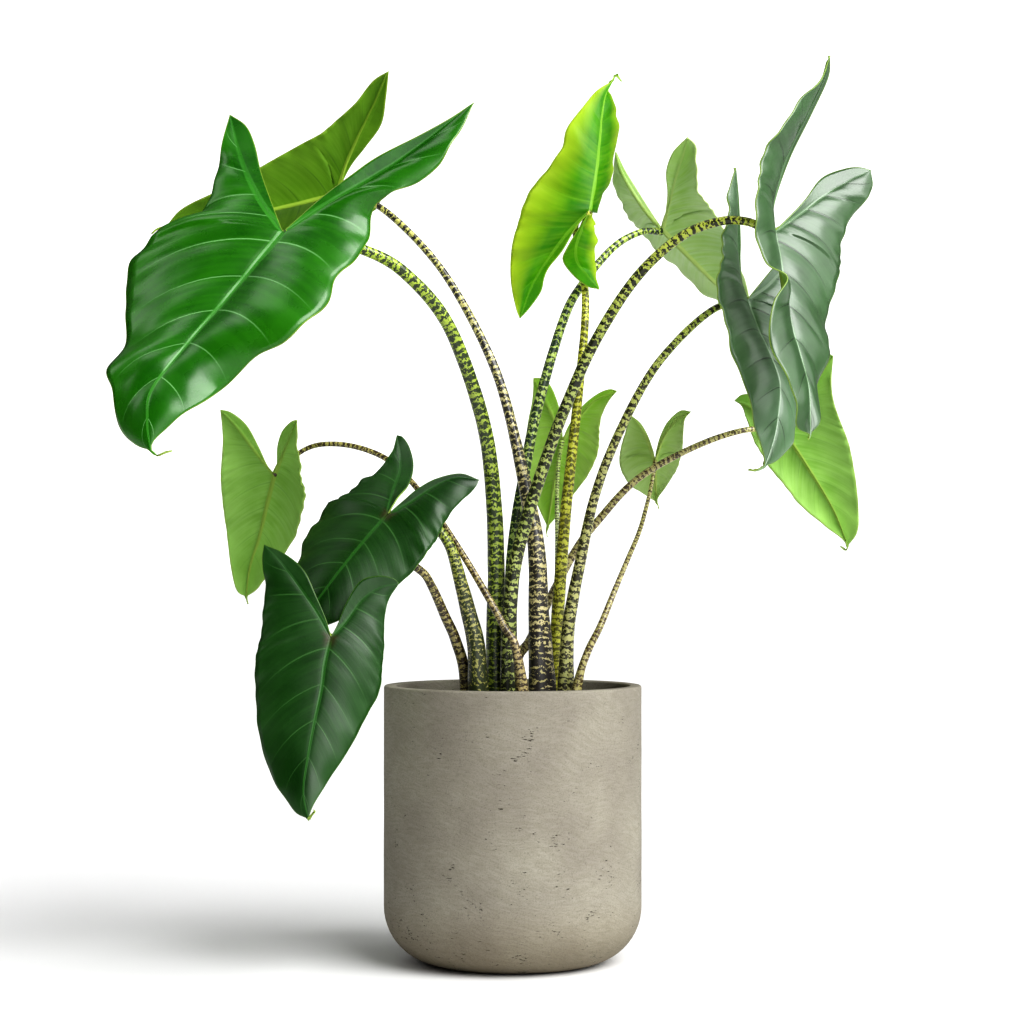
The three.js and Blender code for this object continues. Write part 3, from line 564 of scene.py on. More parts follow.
def bladeRow(guides, side, leaf, place, station, reaches):
    # the points of one row, and the layers that the material reads
    rib, margin, direction = ribAndMargin(guides, side, station)
    vein = margin - rib
    width = vein.length
    if width < 1e-3:
        # the row at a lobe's tip
        return [(rib, (station, 0, 0), (place, 0, 1))] * len(reaches)
    normal = vein.cross(direction).normalized()
    if normal.dot(guides["up"]) < 0:
        normal.negate()
    level = min(abs(station), 1)
    middle = (rib + margin) / 2
    middle -= direction * width * bladeShape["veinLean"] * (1 - level * level)
    middle += normal * width * bladeShape["arch"]
    height, turns, _ = leaf["wave"]
    fade = min((1 - level) / bladeShape["waveFade"], 1)
    ripple = height * math.sin(2 * math.pi * turns * station + side["phase"])
    frill = bladeShape["frill"] * math.sin(
        2 * math.pi * bladeShape["frillTurns"] * station + 3 * math.sin(5 * station) + side["phase"])
    frontVeins, lobeVeins = leaf["veins"]
    ribLength = (side["rib"] if station < 0 else guides["midrib"])[1][-1]
    marginShare = bladeShape["marginSplit"] if station < 0 else 1 - bladeShape["marginSplit"]
    marginLength = side["margin"][1][-1] * marginShare
    veins = lobeVeins if station < 0 else frontVeins
    lean = bladeShape["lean"] * (2 * smoothLevel(-0.9, 0.3, station) - 1)
    smoothness = min(width / bladeShape["fullWidth"], 1)
    points = []
    for reach in reaches:
        spacing = (ribLength * (1 - reach) + marginLength * reach) / veins
        vein = place - lean * reach
        point = rib * (1 - reach) ** 2 + middle * 2 * reach * (1 - reach) + margin * reach ** 2
        rise = fade * (ripple * reach ** 3 + smoothness * frill * reach ** 5)
        # the blade swells between two side veins, unevenly
        uneven = noise.noise(Vector((vein * 2.2, reach * 1.5, place)))
        swell = abs(math.sin(math.pi * vein)) ** 0.7 + 0.5 * uneven
        rise += leaf["pucker"] * swell * fade * smoothness * math.sin(math.pi * reach ** 0.8) ** 0.8
        dent = noise.noise(point / bladeShape["dentSize"])
        rise += bladeShape["dents"] * fade * smoothness * reach * dent
        # a groove along the rib, alike on both sides of it
        nearRib = math.exp(-(reach * width / bladeShape["grooveHalfWidth"]) ** 2)
        groove = bladeShape["grooveDepth"] * (1 - level) * nearRib
        points.append((
            point + normal * rise - guides["up"] * groove, (station, reach, (1 - reach) * width * mm),
            (vein, reach * width * mm, spacing * mm),
        ))
    return points


def stripRow(guides, side, place, station, shares):
    # the narrow inner strip of a lobe, from its free edge to the rib
    rib = curvePoint(side["rib"], -station)
    edge = curvePoint(side["inner"], -station)
    width = (edge - rib).length
    spacing = bladeShape["stripVeinSpacing"]
    points = []
    for share in shares:
        points.append((
            edge.lerp(rib, share), (station, share - 1, width * share * mm),
            (place, width * (1 - share) * mm, spacing * mm),
        ))
    return points


def layGrid(mesh, layers, rows, up):
    # a flat grid of faces, each vertex of which is moved to its place on the leaf
    across, along = len(rows[0]) - 1, len(rows) - 1
    made = bmesh.ops.create_grid(mesh, x_segments=across, y_segments=along, size=0.5)
    for vertex in made["verts"]:
        row = rows[round((vertex.co.y + 0.5) * along)]
        point, leafPlace, veinPlace = row[round((vertex.co.x + 0.5) * across)]
        vertex.co = point * mm
        vertex[layers[0]] = leafPlace
        vertex[layers[1]] = veinPlace
    faces = list({face for vertex in made["verts"] for face in vertex.link_faces})
    facing = Vector()
    for face in faces:
        face.normal_update()
        facing += face.normal * face.calc_area()
    if facing.dot(up) < 0:
        bmesh.ops.reverse_faces(mesh, faces=faces)


def makeBlade(name, leaf, materials):
    guides = bladeGuides(leaf)
    mesh = bmesh.new()
    layers = [mesh.verts.layers.float_vector.new(layer) for layer in ("leafPlace", "veinPlace")]
    rowCount = bladeShape["rowsPerVein"] * sum(leaf["veins"]) + bladeShape["tailRows"]
    lobeRows = bladeShape["rowsPerVein"] * leaf["veins"][1]
    across, strip = bladeShape["across"], bladeShape["strip"]
    # the columns lie closer together near the rib
    reaches = [(column / across) ** 1.5 for column in range(across + 1)]
    shares = [column / strip for column in range(strip + 1)]
    for side in guides["sides"]:
        places = [stationAt(leaf, row) for row in range(rowCount + 1)]
        rows = [bladeRow(guides, side, leaf, place, station, reaches) for place, station in places]
        layGrid(mesh, layers, rows, guides["up"])
        lobePlaces = places[:lobeRows + 1]
        inner = [stripRow(guides, side, place, station, shares) for place, station in lobePlaces]
        # the strip starts on the blade's own rib points, so that the two join
        for row, made in zip(inner, rows):
            row[-1] = made[0]
        layGrid(mesh, layers, inner, guides["up"])
    bmesh.ops.remove_doubles(mesh, verts=mesh.verts, dist=0.02 * mm)
    bmesh.ops.dissolve_degenerate(mesh, dist=0.01 * mm, edges=mesh.edges)
    piece = toPiece(mesh, name, materials, [name + "_blade"])
    addRibThickness(piece)
    return piece


def addRibThickness(piece):
    # thick at the ribs and thin elsewhere, all of it below the upper face
    ribs = piece.vertex_groups.new(name="ribs")
    leafPlace = piece.data.attributes["leafPlace"].data
    veinPlace = piece.data.attributes["veinPlace"].data
    thin = bladeShape["thickness"] / bladeShape["ribHeight"]
    for index in range(len(piece.data.vertices)):
        station, reach, _ = leafPlace[index].vector
        place, ribDistance, spacing = veinPlace[index].vector
        level = min(abs(station), 1)
        slim = 1 - bladeShape["ribSlimming"] * level
        rib = slim * math.exp(-(ribDistance / mm / (bladeShape["ribHalfWidth"] * slim)) ** 2)
        veinDistance = (0.5 - abs(place % 1 - 0.5)) * spacing / mm
        nearVein = math.exp(-(veinDistance / bladeShape["veinHalfWidth"]) ** 2)
        vein = bladeShape["veinHeight"] * (1 - level) * (1 - abs(reach)) * nearVein
        ribs.add([index], min(thin + (1 - thin) * rib + vein, 1), "REPLACE")
    solid = piece.modifiers.new("thickness", "SOLIDIFY")
    solid.thickness = bladeShape["ribHeight"] * mm
    solid.offset = -1
    solid.vertex_group = "ribs"
    solid.material_offset = 1
    solid.material_offset_rim = 1


# Blade skin. Fresh leaf: waxy cuticle with a silky gloss above, duller below, and light shines through the
# thin green; towards the margin a painted glow lightens the colour as well. Fine veins run along with the
# side veins.
def bladeSkin(name, look):
    material, tree = newMaterial(name)
    leafPlace = addNode(tree, "Attribute", out=1, attribute_name="leafPlace")
    veinPlace = addNode(tree, "Attribute", out=1, attribute_name="veinPlace")
    station, reach, edgeDistance = addNode(tree, "SeparateXYZ", {0: leafPlace}).node.outputs
    place, ribDistance, spacing = addNode(tree, "SeparateXYZ", {0: veinPlace}).node.outputs
    where = addNode(tree, "TexCoord", out=3)

    # level is 1 at the joint and 0 at the tips
    level = addNode(tree, "Math", {0: station, 1: 1.0}, operation="ADD")
    level = addNode(tree, "Math", {0: level, 1: 1.0}, operation="PINGPONG")
    # side veins, some stronger than others, fading out before the margin; none on a lobe's inner strip
    draw = addNode(tree, "TexNoise", {"W": place, "Scale": 1.3}, noise_dimensions="1D")
    veinShow = addNode(
        tree, "MapRange", {0: draw, 1: 0.35, 2: 0.6, 3: 0.6 * look["veinShow"], 4: look["veinShow"]})
    inward = addNode(tree, "MapRange", {0: reach, 1: 0.35, 2: 0.9, 3: veinShow, 4: 0.05})
    outward = addNode(tree, "MapRange", {0: reach, 1: 0.0, 2: 0.04, 4: inward})
    veinDistance = addNode(tree, "Math", {0: place, 1: 0.5}, operation="PINGPONG")
    veinDistance = addNode(tree, "Math", {0: veinDistance, 1: spacing}, operation="MULTIPLY")
    veinHalf = addNode(tree, "MapRange", {0: level, 3: 0.2 * mm, 4: look["veinHalfWidth"] * mm})
    softHalf = addNode(tree, "Math", {0: veinHalf, 1: 0.5 * mm}, operation="ADD")
    veins = addNode(
        tree, "MapRange", {0: veinDistance, 1: veinHalf, 2: softHalf, 3: outward, 4: 0.0},
        interpolation_type="SMOOTHSTEP")
    # midrib and lobe ribs, tapering to the tips
    taper = addNode(tree, "Math", {0: level, 1: 0.8}, operation="POWER")
    ribHalf = addNode(tree, "MapRange", {0: taper, 3: 0.6 * mm, 4: look["ribHalfWidth"] * mm})
    ribInner = addNode(tree, "Math", {0: ribHalf, 1: 0.75}, operation="MULTIPLY")
    ribShow = addNode(
        tree, "MapRange", {0: station, 1: -0.7, 2: 0.05, 3: 0.35 * look["ribShow"], 4: look["ribShow"]})
    ribs = addNode(
        tree, "MapRange", {0: ribDistance, 1: ribInner, 2: ribHalf, 3: ribShow, 4: 0.0},
        interpolation_type="SMOOTHSTEP")
    edges = addNode(
        tree, "MapRange", {0: edgeDistance, 1: 0.4 * mm, 2: 1.0 * mm, 3: look["edgeShow"], 4: 0.0})
    # on some leaves the ribs are brown where they meet
    jointNear = addNode(
        tree, "MapRange", {0: ribDistance, 1: 3 * mm, 2: 8 * mm, 3: look["jointShow"], 4: 0.0})
    joint = addNode(tree, "MapRange", {0: level, 1: 0.93, 2: 0.985, 4: jointNear})
    # fine veins: uneven streaks along the side veins
    along = addNode(tree, "CombineXYZ", {0: place, 1: reach})
    streakScale = (look["fineVeins"], 1.4, 1.0)
    streakPlace = addNode(
        tree, "VectorMath", {0: along, 1: streakScale, 2: where}, operation="MULTIPLY_ADD")
    streaks = addNode(
        tree, "TexNoise", {"Vector": streakPlace, "Scale": 1.0, "Detail": 2.0, "Roughness": 0.5})
    streakShow = addNode(tree, "MapRange", {0: level, 1: 0.2, 2: 0.6, 4: look["streakShow"]})
    streakShare = addNode(tree, "MapRange", {0: streaks, 1: 0.35, 2: 0.65, 4: streakShow})
    # the streaks' relief dies away to the tips
    streakRise = addNode(tree, "Math", {0: streaks, 1: level}, operation="MULTIPLY")
    mottle = addNode(tree, "TexNoise", {"Vector": where, "Scale": 1 / (38 * mm), "Detail": 4.0})
    grain = addNode(tree, "TexNoise", {"Vector": where, "Scale": 1 / (1.5 * mm), "Detail": 2.0})
    patches = addNode(tree, "MapRange", {0: mottle, 1: 0.35, 2: 0.65})
    # painted glow: the blade is painted brighter towards its margin, by edgeGlow, standing in for light
    # shining through the thin edge
    outer = addNode(tree, "MapRange", {0: reach, 1: 0.3, 2: 1.0, 4: look["edgeGlow"]})

    base = paint(tree, linearColour(look["deep"]), [
        (patches, look["green"]), (outer, look["bright"]), (streakShare, look["bright"]),
        (veins, look["vein"]), (ribs, look["rib"]), (joint, look["joint"]), (edges, look["edge"]),
    ])
    height = relief(tree, [
        (streakRise, 0.35 * mm), (grain, 0.03 * mm),
        (ribs, look["ribRise"] * mm), (veins, look["veinRise"] * mm),
    ])
    bump = addNode(tree, "Bump", {"Strength": 0.6, "Distance": 1.0, "Height": height})
    shiny, dull = (look["roughness"] + sign * look["glossSpread"] / 2 for sign in (-1, 1))
    gloss = addNode(tree, "MapRange", {0: mottle, 1: 0.3, 2: 0.7, 3: shiny, 4: dull})
    skin = addNode(tree, "BsdfPrincipled", {
        "Base Color": base, "Roughness": gloss, "Normal": bump, "IOR": 1.45,
        "Specular IOR Level": look["gloss"], "Coat Weight": look["coat"], "Coat Roughness": 0.2,
    })
    tint = paint(tree, base, [(0.5, look["through"])])
    through = addNode(tree, "BsdfTranslucent", {"Color": tint, "Normal": bump})
    both = addNode(tree, "MixShader", {0: look["glow"], 1: skin, 2: through})
    addNode(tree, "OutputMaterial", {0: both})
    return material


upperDefaults = {
    "deep": "#135600", "green": "#226A02", "bright": "#3C8A12", "vein": "#86BE7C", "rib": "#428C2E",
    "edge": "#A9B84C", "through": "#7FC81E", "veinShow": 0.75, "veinHalfWidth": 0.5, "ribShow": 0.9,
    "edgeShow": 0.5, "edgeGlow": 0.3, "streakShow": 0.25, "ribHalfWidth": 5.0, "fineVeins": 9,
    "ribRise": 0.15, "veinRise": -0.2, "roughness": 0.28, "glossSpread": 0.08, "gloss": 0.75, "coat": 0.1,
    "glow": 0.1, "jointShow": 0.0, "joint": "#3A2C14",
}
underDefaults = {
    **upperDefaults, "deep": "#86B64E", "green": "#9CCA64", "bright": "#BAE08A", "vein": "#5E8F38",
    "rib": "#A5C05C", "edge": "#B9C873", "ribHalfWidth": 2.6, "roughness": 0.5, "gloss": 0.3, "coat": 0.0,
    "glow": 0.3, "veinShow": 0.3, "ribRise": 0.2, "veinRise": -0.1,
}
upperLooks = {
    "green": {},
    "lime": {
        "deep": "#327E00", "green": "#4E9A02", "bright": "#CCE444", "vein": "#74B42C", "rib": "#8CC43C",
        "through": "#C8EE2A", "glow": 0.3, "edge": "#C9DC62", "veinShow": 0.4, "edgeGlow": 0.85,
        "gloss": 0.3, "coat": 0.05, "roughness": 0.4, "ribHalfWidth": 2.6, "ribRise": 0.4,
        "streakShow": 0.12,
    },
    # grey-green upper face: partly the leaf's own dull green and partly a painted silvery sheen; its dark
    # vein colour is partly painted shade in the sunk vein creases
    "grey": {
        "deep": "#2D4A28", "green": "#3C5E36", "bright": "#53744A", "vein": "#1A3216", "rib": "#6E8F66",
        "edge": "#86A83E", "veinShow": 0.95, "veinHalfWidth": 0.7, "ribHalfWidth": 2.2, "roughness": 0.33,
        "gloss": 0.8, "coat": 0.4, "glow": 0.05, "veinRise": -1.0,
    },
    # paler grey-green upper face: partly the leaf's own green and partly a painted silvery sheen; its dark
    # vein colour is partly painted shade in the sunk vein creases
    "silver": {
        "deep": "#4E6E4A", "green": "#628260", "bright": "#82A07E", "vein": "#2A4626", "rib": "#9AB496",
        "edge": "#86A83E", "veinShow": 0.9, "veinHalfWidth": 0.7, "ribHalfWidth": 2.2, "roughness": 0.35,
        "gloss": 0.8, "coat": 0.4, "glow": 0.1, "veinRise": -1.0,
    },
    "dark": {
        "deep": "#0B3204", "green": "#144009", "bright": "#2A5A1C", "vein": "#4C7A40", "rib": "#2A5E1E",
        "edge": "#557A2A", "veinShow": 0.48, "ribHalfWidth": 2.4, "roughness": 0.42, "glow": 0.04,
        "gloss": 0.55, "coat": 0.05, "glossSpread": 0.18, "jointShow": 0.65,
    },
}
underLooks = {
    "fresh": {},
    # painted lighter than the fresh underside, partly standing in for light that barely reaches these
    # leaves; its near-white bright colour is a painted sheen towards the margin and along the fine-vein
    # streaks
    "pale": {
        "deep": "#A2CA62", "green": "#B6D880", "bright": "#D4E8B2", "vein": "#86B05C", "rib": "#C4DA7A",
        "glow": 0.25,
    },
    "spring": {
        "deep": "#A0D84A", "green": "#B4E464", "bright": "#DAF2A0", "vein": "#86B05C", "rib": "#C8E47A",
        "glow": 0.2,
    },
    # underside painted lighter to stand in for light it does not get, with a near-white painted sheen laid
    # on towards the margin and along the fine-vein streaks
    "frost": {
        "deep": "#A6D26A", "green": "#BCE088", "bright": "#E8F6D6", "vein": "#8CB660", "rib": "#CCE488",
        "glow": 0.2, "gloss": 0.6, "coat": 0.4,
    },
    "olive": {
        "deep": "#5E8E1A", "green": "#6E9E24", "bright": "#90BC42", "vein": "#34601A", "rib": "#B8D858",
        "edge": "#A9B84C", "veinShow": 0.5,
    },
    "lime": {
        "deep": "#62B000", "green": "#8CC80A", "bright": "#DCEE5A", "vein": "#4E9410", "rib": "#8CC03C",
        "through": "#C8EE2A", "glow": 0.3, "edgeGlow": 0.85,
    },
}
uppers = {
    key: bladeSkin("leaf upper face, waxy, " + key, {**upperDefaults, **look})
    for key, look in upperLooks.items()
}
unders = {
    key: bladeSkin("leaf underside, dull, " + key, {**underDefaults, **look})
    for key, look in underLooks.items()
}

for name, leaf in leaves.items():
    makeBlade(name, leaf, [uppers[leaf["upper"]], unders[leaf["under"]]])
print("blades made")

# Stalks: round fleshy petioles, swollen at the joint, widening into a sheath with a wing at the foot
stalkShape = {
    "sides": 26,
    "ringSpacing": 3.0,
    "knuckle": 1.25,  # swelling at the joint, as a share of the stalk's end radius
    "knuckleLength": 9,
    "wing": 0.5,  # how far the sheath's wing stands out at the foot, as a share of the radius
    "wingTop": 0.25,  # the wing has died away at this share of the stalk
    "wingSpread": 0.5,  # how far round the stalk it reaches, in radians
    "unevenness": 0.05,  # share of the radius
    "dentSize": 25,
}


def makeStalk(name, leaf, material):
    guides = bladeGuides(leaf)
    endRadius = leaf["radii"][-1]
    end = guides["joint"] - guides["up"] * endRadius
    curve = smoothCurve([*(Vector(point) for point in leaf["stalk"]), end])
    length = curve[1][-1]
    rings = round(length / stalkShape["ringSpacing"])
    sides = stalkShape["sides"]
    wingTop = stalkShape["wingTop"]
    mesh = bmesh.new()
    placeLayer = mesh.verts.layers.float_vector.new("stalkPlace")
    shareLayer = mesh.verts.layers.float.new("stalkShare")
    made = bmesh.ops.create_grid(mesh, x_segments=sides, y_segments=rings, size=0.5)
    across = away(Vector((1, 0, 0)), curveDirection(curve, 0))
    frames = []
    for ring in range(rings + 1):
        share = ring / rings
        direction = curveDirection(curve, share)
        across = away(across, direction)
        frames.append((curvePoint(curve, share), across.copy(), direction.cross(across)))
    for vertex in made["verts"]:
        ring = round((vertex.co.y + 0.5) * rings)
        share = ring / rings
        turn = 2 * math.pi * (vertex.co.x + 0.5)
        centre, across, beside = frames[ring]
        radius = listValueAt(leaf["radii"], share)
        toEnd = (1 - share) * length
        radius *= 1 + (stalkShape["knuckle"] - 1) * math.exp(-(toEnd / stalkShape["knuckleLength"]) ** 2)
        # the sheath's wing stands out on one side and dies away upwards
        angle = math.remainder(turn, 2 * math.pi)
        sheath = stalkShape["wing"] * (1 - smoothLevel(wingTop * 0.4, wingTop, share))
        profile = radius * (1 + sheath * math.exp(-(angle / stalkShape["wingSpread"]) ** 2))
        upward = share * length
        dentPlace = Vector((3 * math.cos(turn), 3 * math.sin(turn), upward / stalkShape["dentSize"]))
        profile *= 1 + stalkShape["unevenness"] * noise.noise(dentPlace)
        place = Vector((math.cos(turn) * radius, math.sin(turn) * radius, upward))
        vertex[placeLayer] = place * mm
        vertex[shareLayer] = share
        vertex.co = (centre + (across * math.cos(turn) + beside * math.sin(turn)) * profile) * mm
    bmesh.ops.remove_doubles(mesh, verts=mesh.verts, dist=0.01 * mm)
    bmesh.ops.holes_fill(mesh, edges=[edge for edge in mesh.edges if edge.is_boundary], sides=0)
    bmesh.ops.recalc_face_normals(mesh, faces=mesh.faces)
    return toPiece(mesh, name + "_petiole", [material], [name + "_stalk"])


# Zebra skin: smooth fleshy stalk, light ground with dark jagged bars across it
def zebraSkin(name, look):
    material, tree = newMaterial(name)
    place = addNode(tree, "Attribute", out=1, attribute_name="stalkPlace")
    share = addNode(tree, "Attribute", out=2, attribute_name="stalkShare")
    pitch = look["pitch"] * mm

    # bars across the stalk: waves along it, shifted and broken by noise, so that their edges are jagged
    teeth = addNode(
        tree, "TexNoise", {"Vector": place, "Scale": 1.5 / pitch, "Detail": 3.0, "Roughness": 0.65})
    upward = addNode(tree, "SeparateXYZ", {0: place}, out=2)
    turns = addNode(tree, "Math", {0: upward, 1: 1 / pitch}, operation="MULTIPLY")
    shifted = addNode(tree, "Math", {0: teeth, 1: 2.6, 2: turns}, operation="MULTIPLY_ADD")
    phase = addNode(tree, "Math", {0: shifted, 1: 2 * math.pi}, operation="MULTIPLY")
    wave = addNode(tree, "Math", {0: phase}, operation="SINE")
    stretch = (0.9 / pitch, 0.9 / pitch, 2.2 / pitch)
    barPlace = addNode(tree, "VectorMath", {0: place, 1: stretch}, operation="MULTIPLY")
    bars = addNode(tree, "TexNoise", {"Vector": barPlace, "Scale": 1.0, "Detail": 3.0, "Roughness": 0.6})
    bars = addNode(tree, "Math", {0: wave, 1: look["regular"], 2: bars}, operation="MULTIPLY_ADD")
    # fine mottling of the sheath at the foot
    fine = addNode(tree, "TexNoise", {"Vector": place, "Scale": 1 / (2.6 * mm), "Detail": 3.0})
    sheathTop = look["sheathTop"]
    sheath = addNode(
        tree, "MapRange", {0: share, 1: sheathTop * 0.3, 2: sheathTop, 3: look["mottle"], 4: 0.0})
    pattern = addNode(tree, "Mix", {0: sheath, 2: bars, 3: fine})
    # the dark covers more of the foot than of the top
    lowLimit, highLimit = (0.5 - 0.36 * (look[cover] - 0.5) for cover in ("coverLow", "coverHigh"))
    limit = addNode(tree, "MapRange", {0: share, 1: 0.15, 2: 0.95, 3: lowLimit, 4: highLimit})
    dark = addNode(tree, "Math", {0: pattern, 1: limit}, operation="SUBTRACT")
    dark = addNode(
        tree, "MapRange", {0: dark, 1: -0.018, 2: 0.022, 4: 0.96}, interpolation_type="SMOOTHSTEP")

    tint = addNode(tree, "TexNoise", {"Vector": place, "Scale": 1 / (14 * mm), "Detail": 2.0})
    tintShare = addNode(tree, "MapRange", {0: tint, 1: 0.35, 2: 0.65})
    upper = addNode(tree, "MapRange", {0: share, 1: 0.55, 2: 1.0})
    fineShare = addNode(tree, "MapRange", {0: fine, 1: 0.3, 2: 0.7})
    ground = paint(tree, linearColour(look["light"]), [(tintShare, look["second"]), (upper, look["top"])])
    shade = paint(tree, linearColour(look["dark"]), [(fineShare, look["darkSecond"])])
    base = addNode(tree, "Mix", {0: dark, 6: ground, 7: shade}, out=2, data_type="RGBA")
    height = relief(tree, [(fine, 0.08 * mm), (dark, 0.05 * mm)])
    bump = addNode(tree, "Bump", {"Strength": 0.5, "Distance": 1.0, "Height": height})
    gloss = addNode(tree, "MapRange", {0: tint, 1: 0.2, 2: 0.8, 3: 0.3, 4: 0.42})
    skin = addNode(tree, "BsdfPrincipled", {
        "Base Color": base, "Roughness": gloss, "Normal": bump, "IOR": 1.45,
        "Specular IOR Level": 0.5, "Coat Weight": 0.6, "Coat Roughness": 0.2,
    })
    addNode(tree, "OutputMaterial", {0: skin})
    return material


zebraDefaults = {
    "light": "#9EB048", "second": "#86963E", "top": "#AFC83C", "dark": "#12200F", "darkSecond": "#26361A",
    "pitch": 7, "regular": 0.2, "coverLow": 0.74, "coverHigh": 0.5, "mottle": 0.45, "sheathTop": 0.2,
}
zebraLooks = {
    "olive": {},
    "sand": {
        "light": "#D2C898", "second": "#B4AC76", "top": "#C9C96A", "dark": "#17151A",
        "darkSecond": "#2A2730", "coverLow": 0.8, "coverHigh": 0.6,
    },
    "reed": {
        "light": "#B8B67C", "second": "#A3A668", "top": "#B9CC58", "dark": "#1E1A12",
        "darkSecond": "#33301E", "coverLow": 0.6,
    },
    "yellow": {
        "light": "#CDD056", "second": "#B2B23E", "top": "#DDE662", "pitch": 6, "coverLow": 0.62,
        "coverHigh": 0.5, "dark": "#4A4A14", "darkSecond": "#646424",
    },
    "pale": {
        "light": "#BACC78", "second": "#A2B866", "top": "#BCD45C", "dark": "#12261E",
        "darkSecond": "#20382C", "coverLow": 0.8, "coverHigh": 0.6,
    },
    "black": {
        "light": "#AEB870", "second": "#96A25A", "top": "#C6D250", "dark": "#0A0C08",
        "darkSecond": "#16180F", "coverLow": 0.75,
    },
    "straw": {
        "light": "#BEB680", "second": "#A29C62", "top": "#C8C484", "dark": "#3A2A20",
        "darkSecond": "#54432E", "pitch": 5, "coverLow": 0.5, "coverHigh": 0.35,
    },
    "fleck": {
        "light": "#DCE0AE", "second": "#C8D094", "top": "#BCD478", "dark": "#3E4430", "pitch": 3,
        "coverLow": 0.5, "coverHigh": 0.35,
    },
    "tan": {
        "light": "#B4A474", "second": "#9A905C", "top": "#9C9A54", "dark": "#2A1C16",
        "darkSecond": "#40301E", "pitch": 5, "coverLow": 0.55, "coverHigh": 0.6,
    },
    "moss": {
        "light": "#A8A466", "second": "#92924E", "dark": "#1E1E10", "pitch": 5, "mottle": 0.9,
        "sheathTop": 0.9,
    },
    "umber": {
        "light": "#A69B66", "second": "#8C8450", "dark": "#241812", "darkSecond": "#382A1C", "pitch": 6,
        "coverLow": 0.65, "coverHigh": 0.6,
    },
}
skins = {
    key: zebraSkin("petiole skin, zebra barred, " + key, {**zebraDefaults, **look})
    for key, look in zebraLooks.items()
}
for name, leaf in leaves.items():
    makeStalk(name, leaf, skins[leaf["skin"]])
print("stalks made")

# Pot: cast fibre cement, brushed while wet
pot = {
    "radius": 125, "height": 268, "wall": 12, "floor": 14, "corner": 55, "rimRound": 2.2, "sides": 192,
    "cornerSteps": 14, "rimSteps": 5,
    "wallRings": range(60, 257, 14),  # heights
    "unevenness": 0.25,  # of the hand-finished wall
    "dentSize": 45,
}


def cornerArc(wallRadius, floorHeight, cornerRadius):
    points = []
    for step in range(pot["cornerSteps"] + 1):
        turn = step / pot["cornerSteps"] * math.pi / 2
        radius = wallRadius - cornerRadius * (1 - math.sin(turn))
        points.append((radius, floorHeight + cornerRadius * (1 - math.cos(turn))))
    return points


def lathe(mesh, profile, sides):
    # a chain of points, spun once round the pot's axis
    vertices = [mesh.verts.new((radius * mm, 0, height * mm)) for radius, height in profile]
    edges = [mesh.edges.new(pair) for pair in zip(vertices, vertices[1:])]
    bmesh.ops.spin(
        mesh, geom=vertices + edges, cent=(0, 0, 0), axis=(0, 0, 1), dvec=(0, 0, 0),
        angle=2 * math.pi, steps=sides, use_merge=True, use_duplicate=False)
    bmesh.ops.remove_doubles(mesh, verts=mesh.verts, dist=0.01 * mm)
    bmesh.ops.recalc_face_normals(mesh, faces=mesh.faces)


def makePot(material):
    outer = pot["radius"]
    inner = outer - pot["wall"]
    top, bead = pot["height"], pot["rimRound"]
    rimTurns = [step / pot["rimSteps"] * math.pi / 2 for step in range(pot["rimSteps"] + 1)]
    outerRim = [(outer - bead + bead * math.cos(t), top - bead + bead * math.sin(t)) for t in rimTurns]
    innerRim = [(inner + bead - bead * math.cos(t), top - bead + bead * math.sin(t)) for t in rimTurns]
    profile = [
        (0, 0), *cornerArc(outer, 0, pot["corner"]), *((outer, z) for z in pot["wallRings"]), *outerRim,
        *reversed(innerRim), *((inner, z) for z in reversed(pot["wallRings"])),
        *reversed(cornerArc(inner, pot["floor"], pot["corner"] - pot["wall"])), (0, pot["floor"]),
    ]
    mesh = bmesh.new()
    lathe(mesh, profile, pot["sides"])
    for vertex in mesh.verts:
        where = vertex.co / mm
        if where.z > 1:
            outward = Vector((vertex.co.x, vertex.co.y, 0)).normalized()
            vertex.co += outward * pot["unevenness"] * mm * noise.noise(where / pot["dentSize"])
    return toPiece(mesh, "pot_shell", [material], ["pot"])


